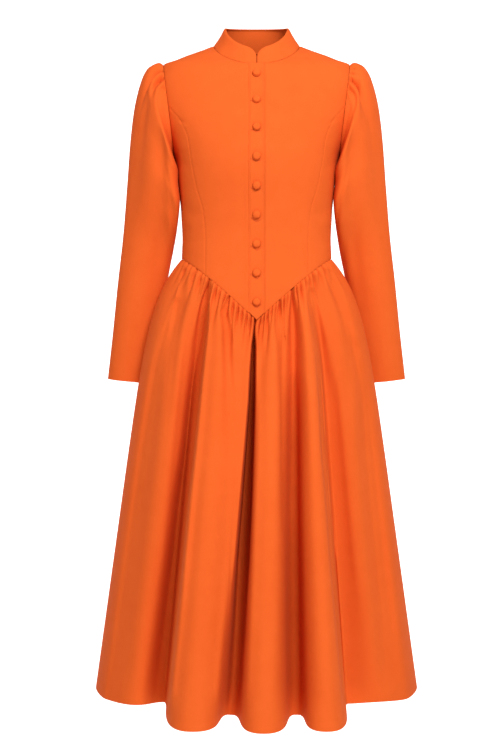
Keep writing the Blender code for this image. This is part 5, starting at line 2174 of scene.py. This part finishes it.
# ------------ the studio
@dataclass(frozen=True)
class Lamp:
    """A soft light: its place, what it looks at, its size, power and colour."""

    name: str
    place: Triple
    aim: Triple
    size: float
    power: float
    colour: Triple = (1.0, 1.0, 1.0)

    def build(self) -> None:
        """Makes the light."""
        data = bpy.data.lights.new(self.name, "AREA")
        data.shape = "SQUARE"
        data.size = self.size
        data.energy = self.power
        data.color = self.colour
        lamp = bpy.data.objects.new(self.name, data)
        bpy.context.scene.collection.objects.link(lamp)
        lamp.location = self.place
        way = np.array(self.aim) - np.array(self.place)
        down = math.acos(-way[2] / np.linalg.norm(way))
        lamp.rotation_euler = (down, 0, math.atan2(way[0], -way[1]) + math.pi)


@dataclass
class Studio:
    """A pale sweep, soft light from the viewer's right and the camera."""

    floor_z: float = -1.75
    floor: Pair = (30.0, 16.0)
    wall: float = 6.0
    sweep_radius: float = 1.5
    sweep_steps: int = 16
    world: float = 0.40
    world_colour: Triple = (1.0, 0.84, 0.66)
    lens: float = 78.3
    sensor: float = 36.0
    shift: float = -0.1
    camera: Triple = VIEWPOINT
    lamps: tuple[Lamp, ...] = (
        Lamp("key", (0.78, -2.75, 1.60), (0.0, 0.0, -0.55), 1.1, 119.0, (1.0, 0.99, 1.0)),
        Lamp("fill", (-2.3, -2.2, 0.5), (0.0, 0.0, -0.6), 1.6, 15.0, (1.0, 0.90, 0.80)),
    )

    def _sweep(self) -> None:
        """The floor, with a wall behind that it curves up into."""
        deselect()
        bpy.ops.mesh.primitive_plane_add(size=1, location=(0, 0, self.floor_z))
        floor = bpy.context.object
        floor.name = floor.data.name = "floor"
        edit(floor)
        bpy.ops.transform.resize(value=(*self.floor, 1))
        bpy.ops.mesh.select_mode(type="EDGE")
        bpy.ops.mesh.select_all(action="DESELECT")
        bpy.ops.object.mode_set(mode="OBJECT")
        for each in floor.data.edges:
            each.select = all(floor.data.vertices[i].co.y > 0 for i in each.vertices)
        bpy.ops.object.mode_set(mode="EDIT")
        bpy.ops.mesh.extrude_region_move(TRANSFORM_OT_translate={"value": (0, 0, self.wall)})
        bpy.ops.mesh.select_all(action="SELECT")
        bpy.ops.mesh.normals_make_consistent(inside=True)
        bpy.ops.object.mode_set(mode="OBJECT")
        round_off = floor.modifiers.new("sweep", "BEVEL")
        round_off.width = self.sweep_radius
        round_off.segments = self.sweep_steps
        bpy.ops.object.modifier_apply(modifier="sweep")
        bpy.ops.object.transform_apply(location=True, rotation=True, scale=True)
        bpy.ops.object.shade_smooth()
        floor.data.materials.append(Paper().make())

    def _world(self) -> None:
        """A warm dim light from all sides, which the camera sees as white."""
        world = bpy.data.worlds.new("studio")
        bpy.context.scene.world = world
        world.use_nodes = True
        nodes = Nodes(world.node_tree)
        seen_directly = nodes.node("ShaderNodeLightPath", {}, {}).outputs["Is Camera Ray"]
        dim = (*(self.world * part for part in self.world_colour), 1)
        tone = nodes.blend(seen_directly, dim, (1, 1, 1, 1))
        nodes.feed(nodes.tree.nodes["Background"].inputs["Color"], tone)

    def _camera(self) -> None:
        """The camera, level and at the photo's place."""
        data = bpy.data.cameras.new("camera")
        data.lens = self.lens
        data.sensor_width = self.sensor
        data.shift_y = self.shift
        camera = bpy.data.objects.new("camera", data)
        bpy.context.scene.collection.objects.link(camera)
        camera.location = self.camera
        camera.rotation_euler = (QUARTER, 0, 0)
        bpy.context.scene.camera = camera

    def build(self) -> None:
        """Makes the sweep, the lights, the world and the camera."""
        self._sweep()
        for lamp in self.lamps:
            lamp.build()
        self._world()
        self._camera()
        bpy.context.scene.view_settings.view_transform = "Standard"


def main() -> None:
    """Builds the dress piece by piece, then the studio."""
    logging.basicConfig(level=logging.INFO, format="%(name)s: %(message)s")
    torso = Torso()
    cutter = Cutter(Crepe().make(), Thread().make())
    bodice = Bodice(torso, cutter)
    bodice.build()
    placket = Placket(torso, cutter, bodice)
    middle = placket.build()
    Buttons(cutter, placket).build(middle)
    Collar(torso, cutter).build()
    Sleeves(torso, cutter).build()
    Skirt(torso, cutter).build()
    Studio().build()
    log.info("%d pieces", len(cutter.made))


if __name__ == "__main__":
    main()
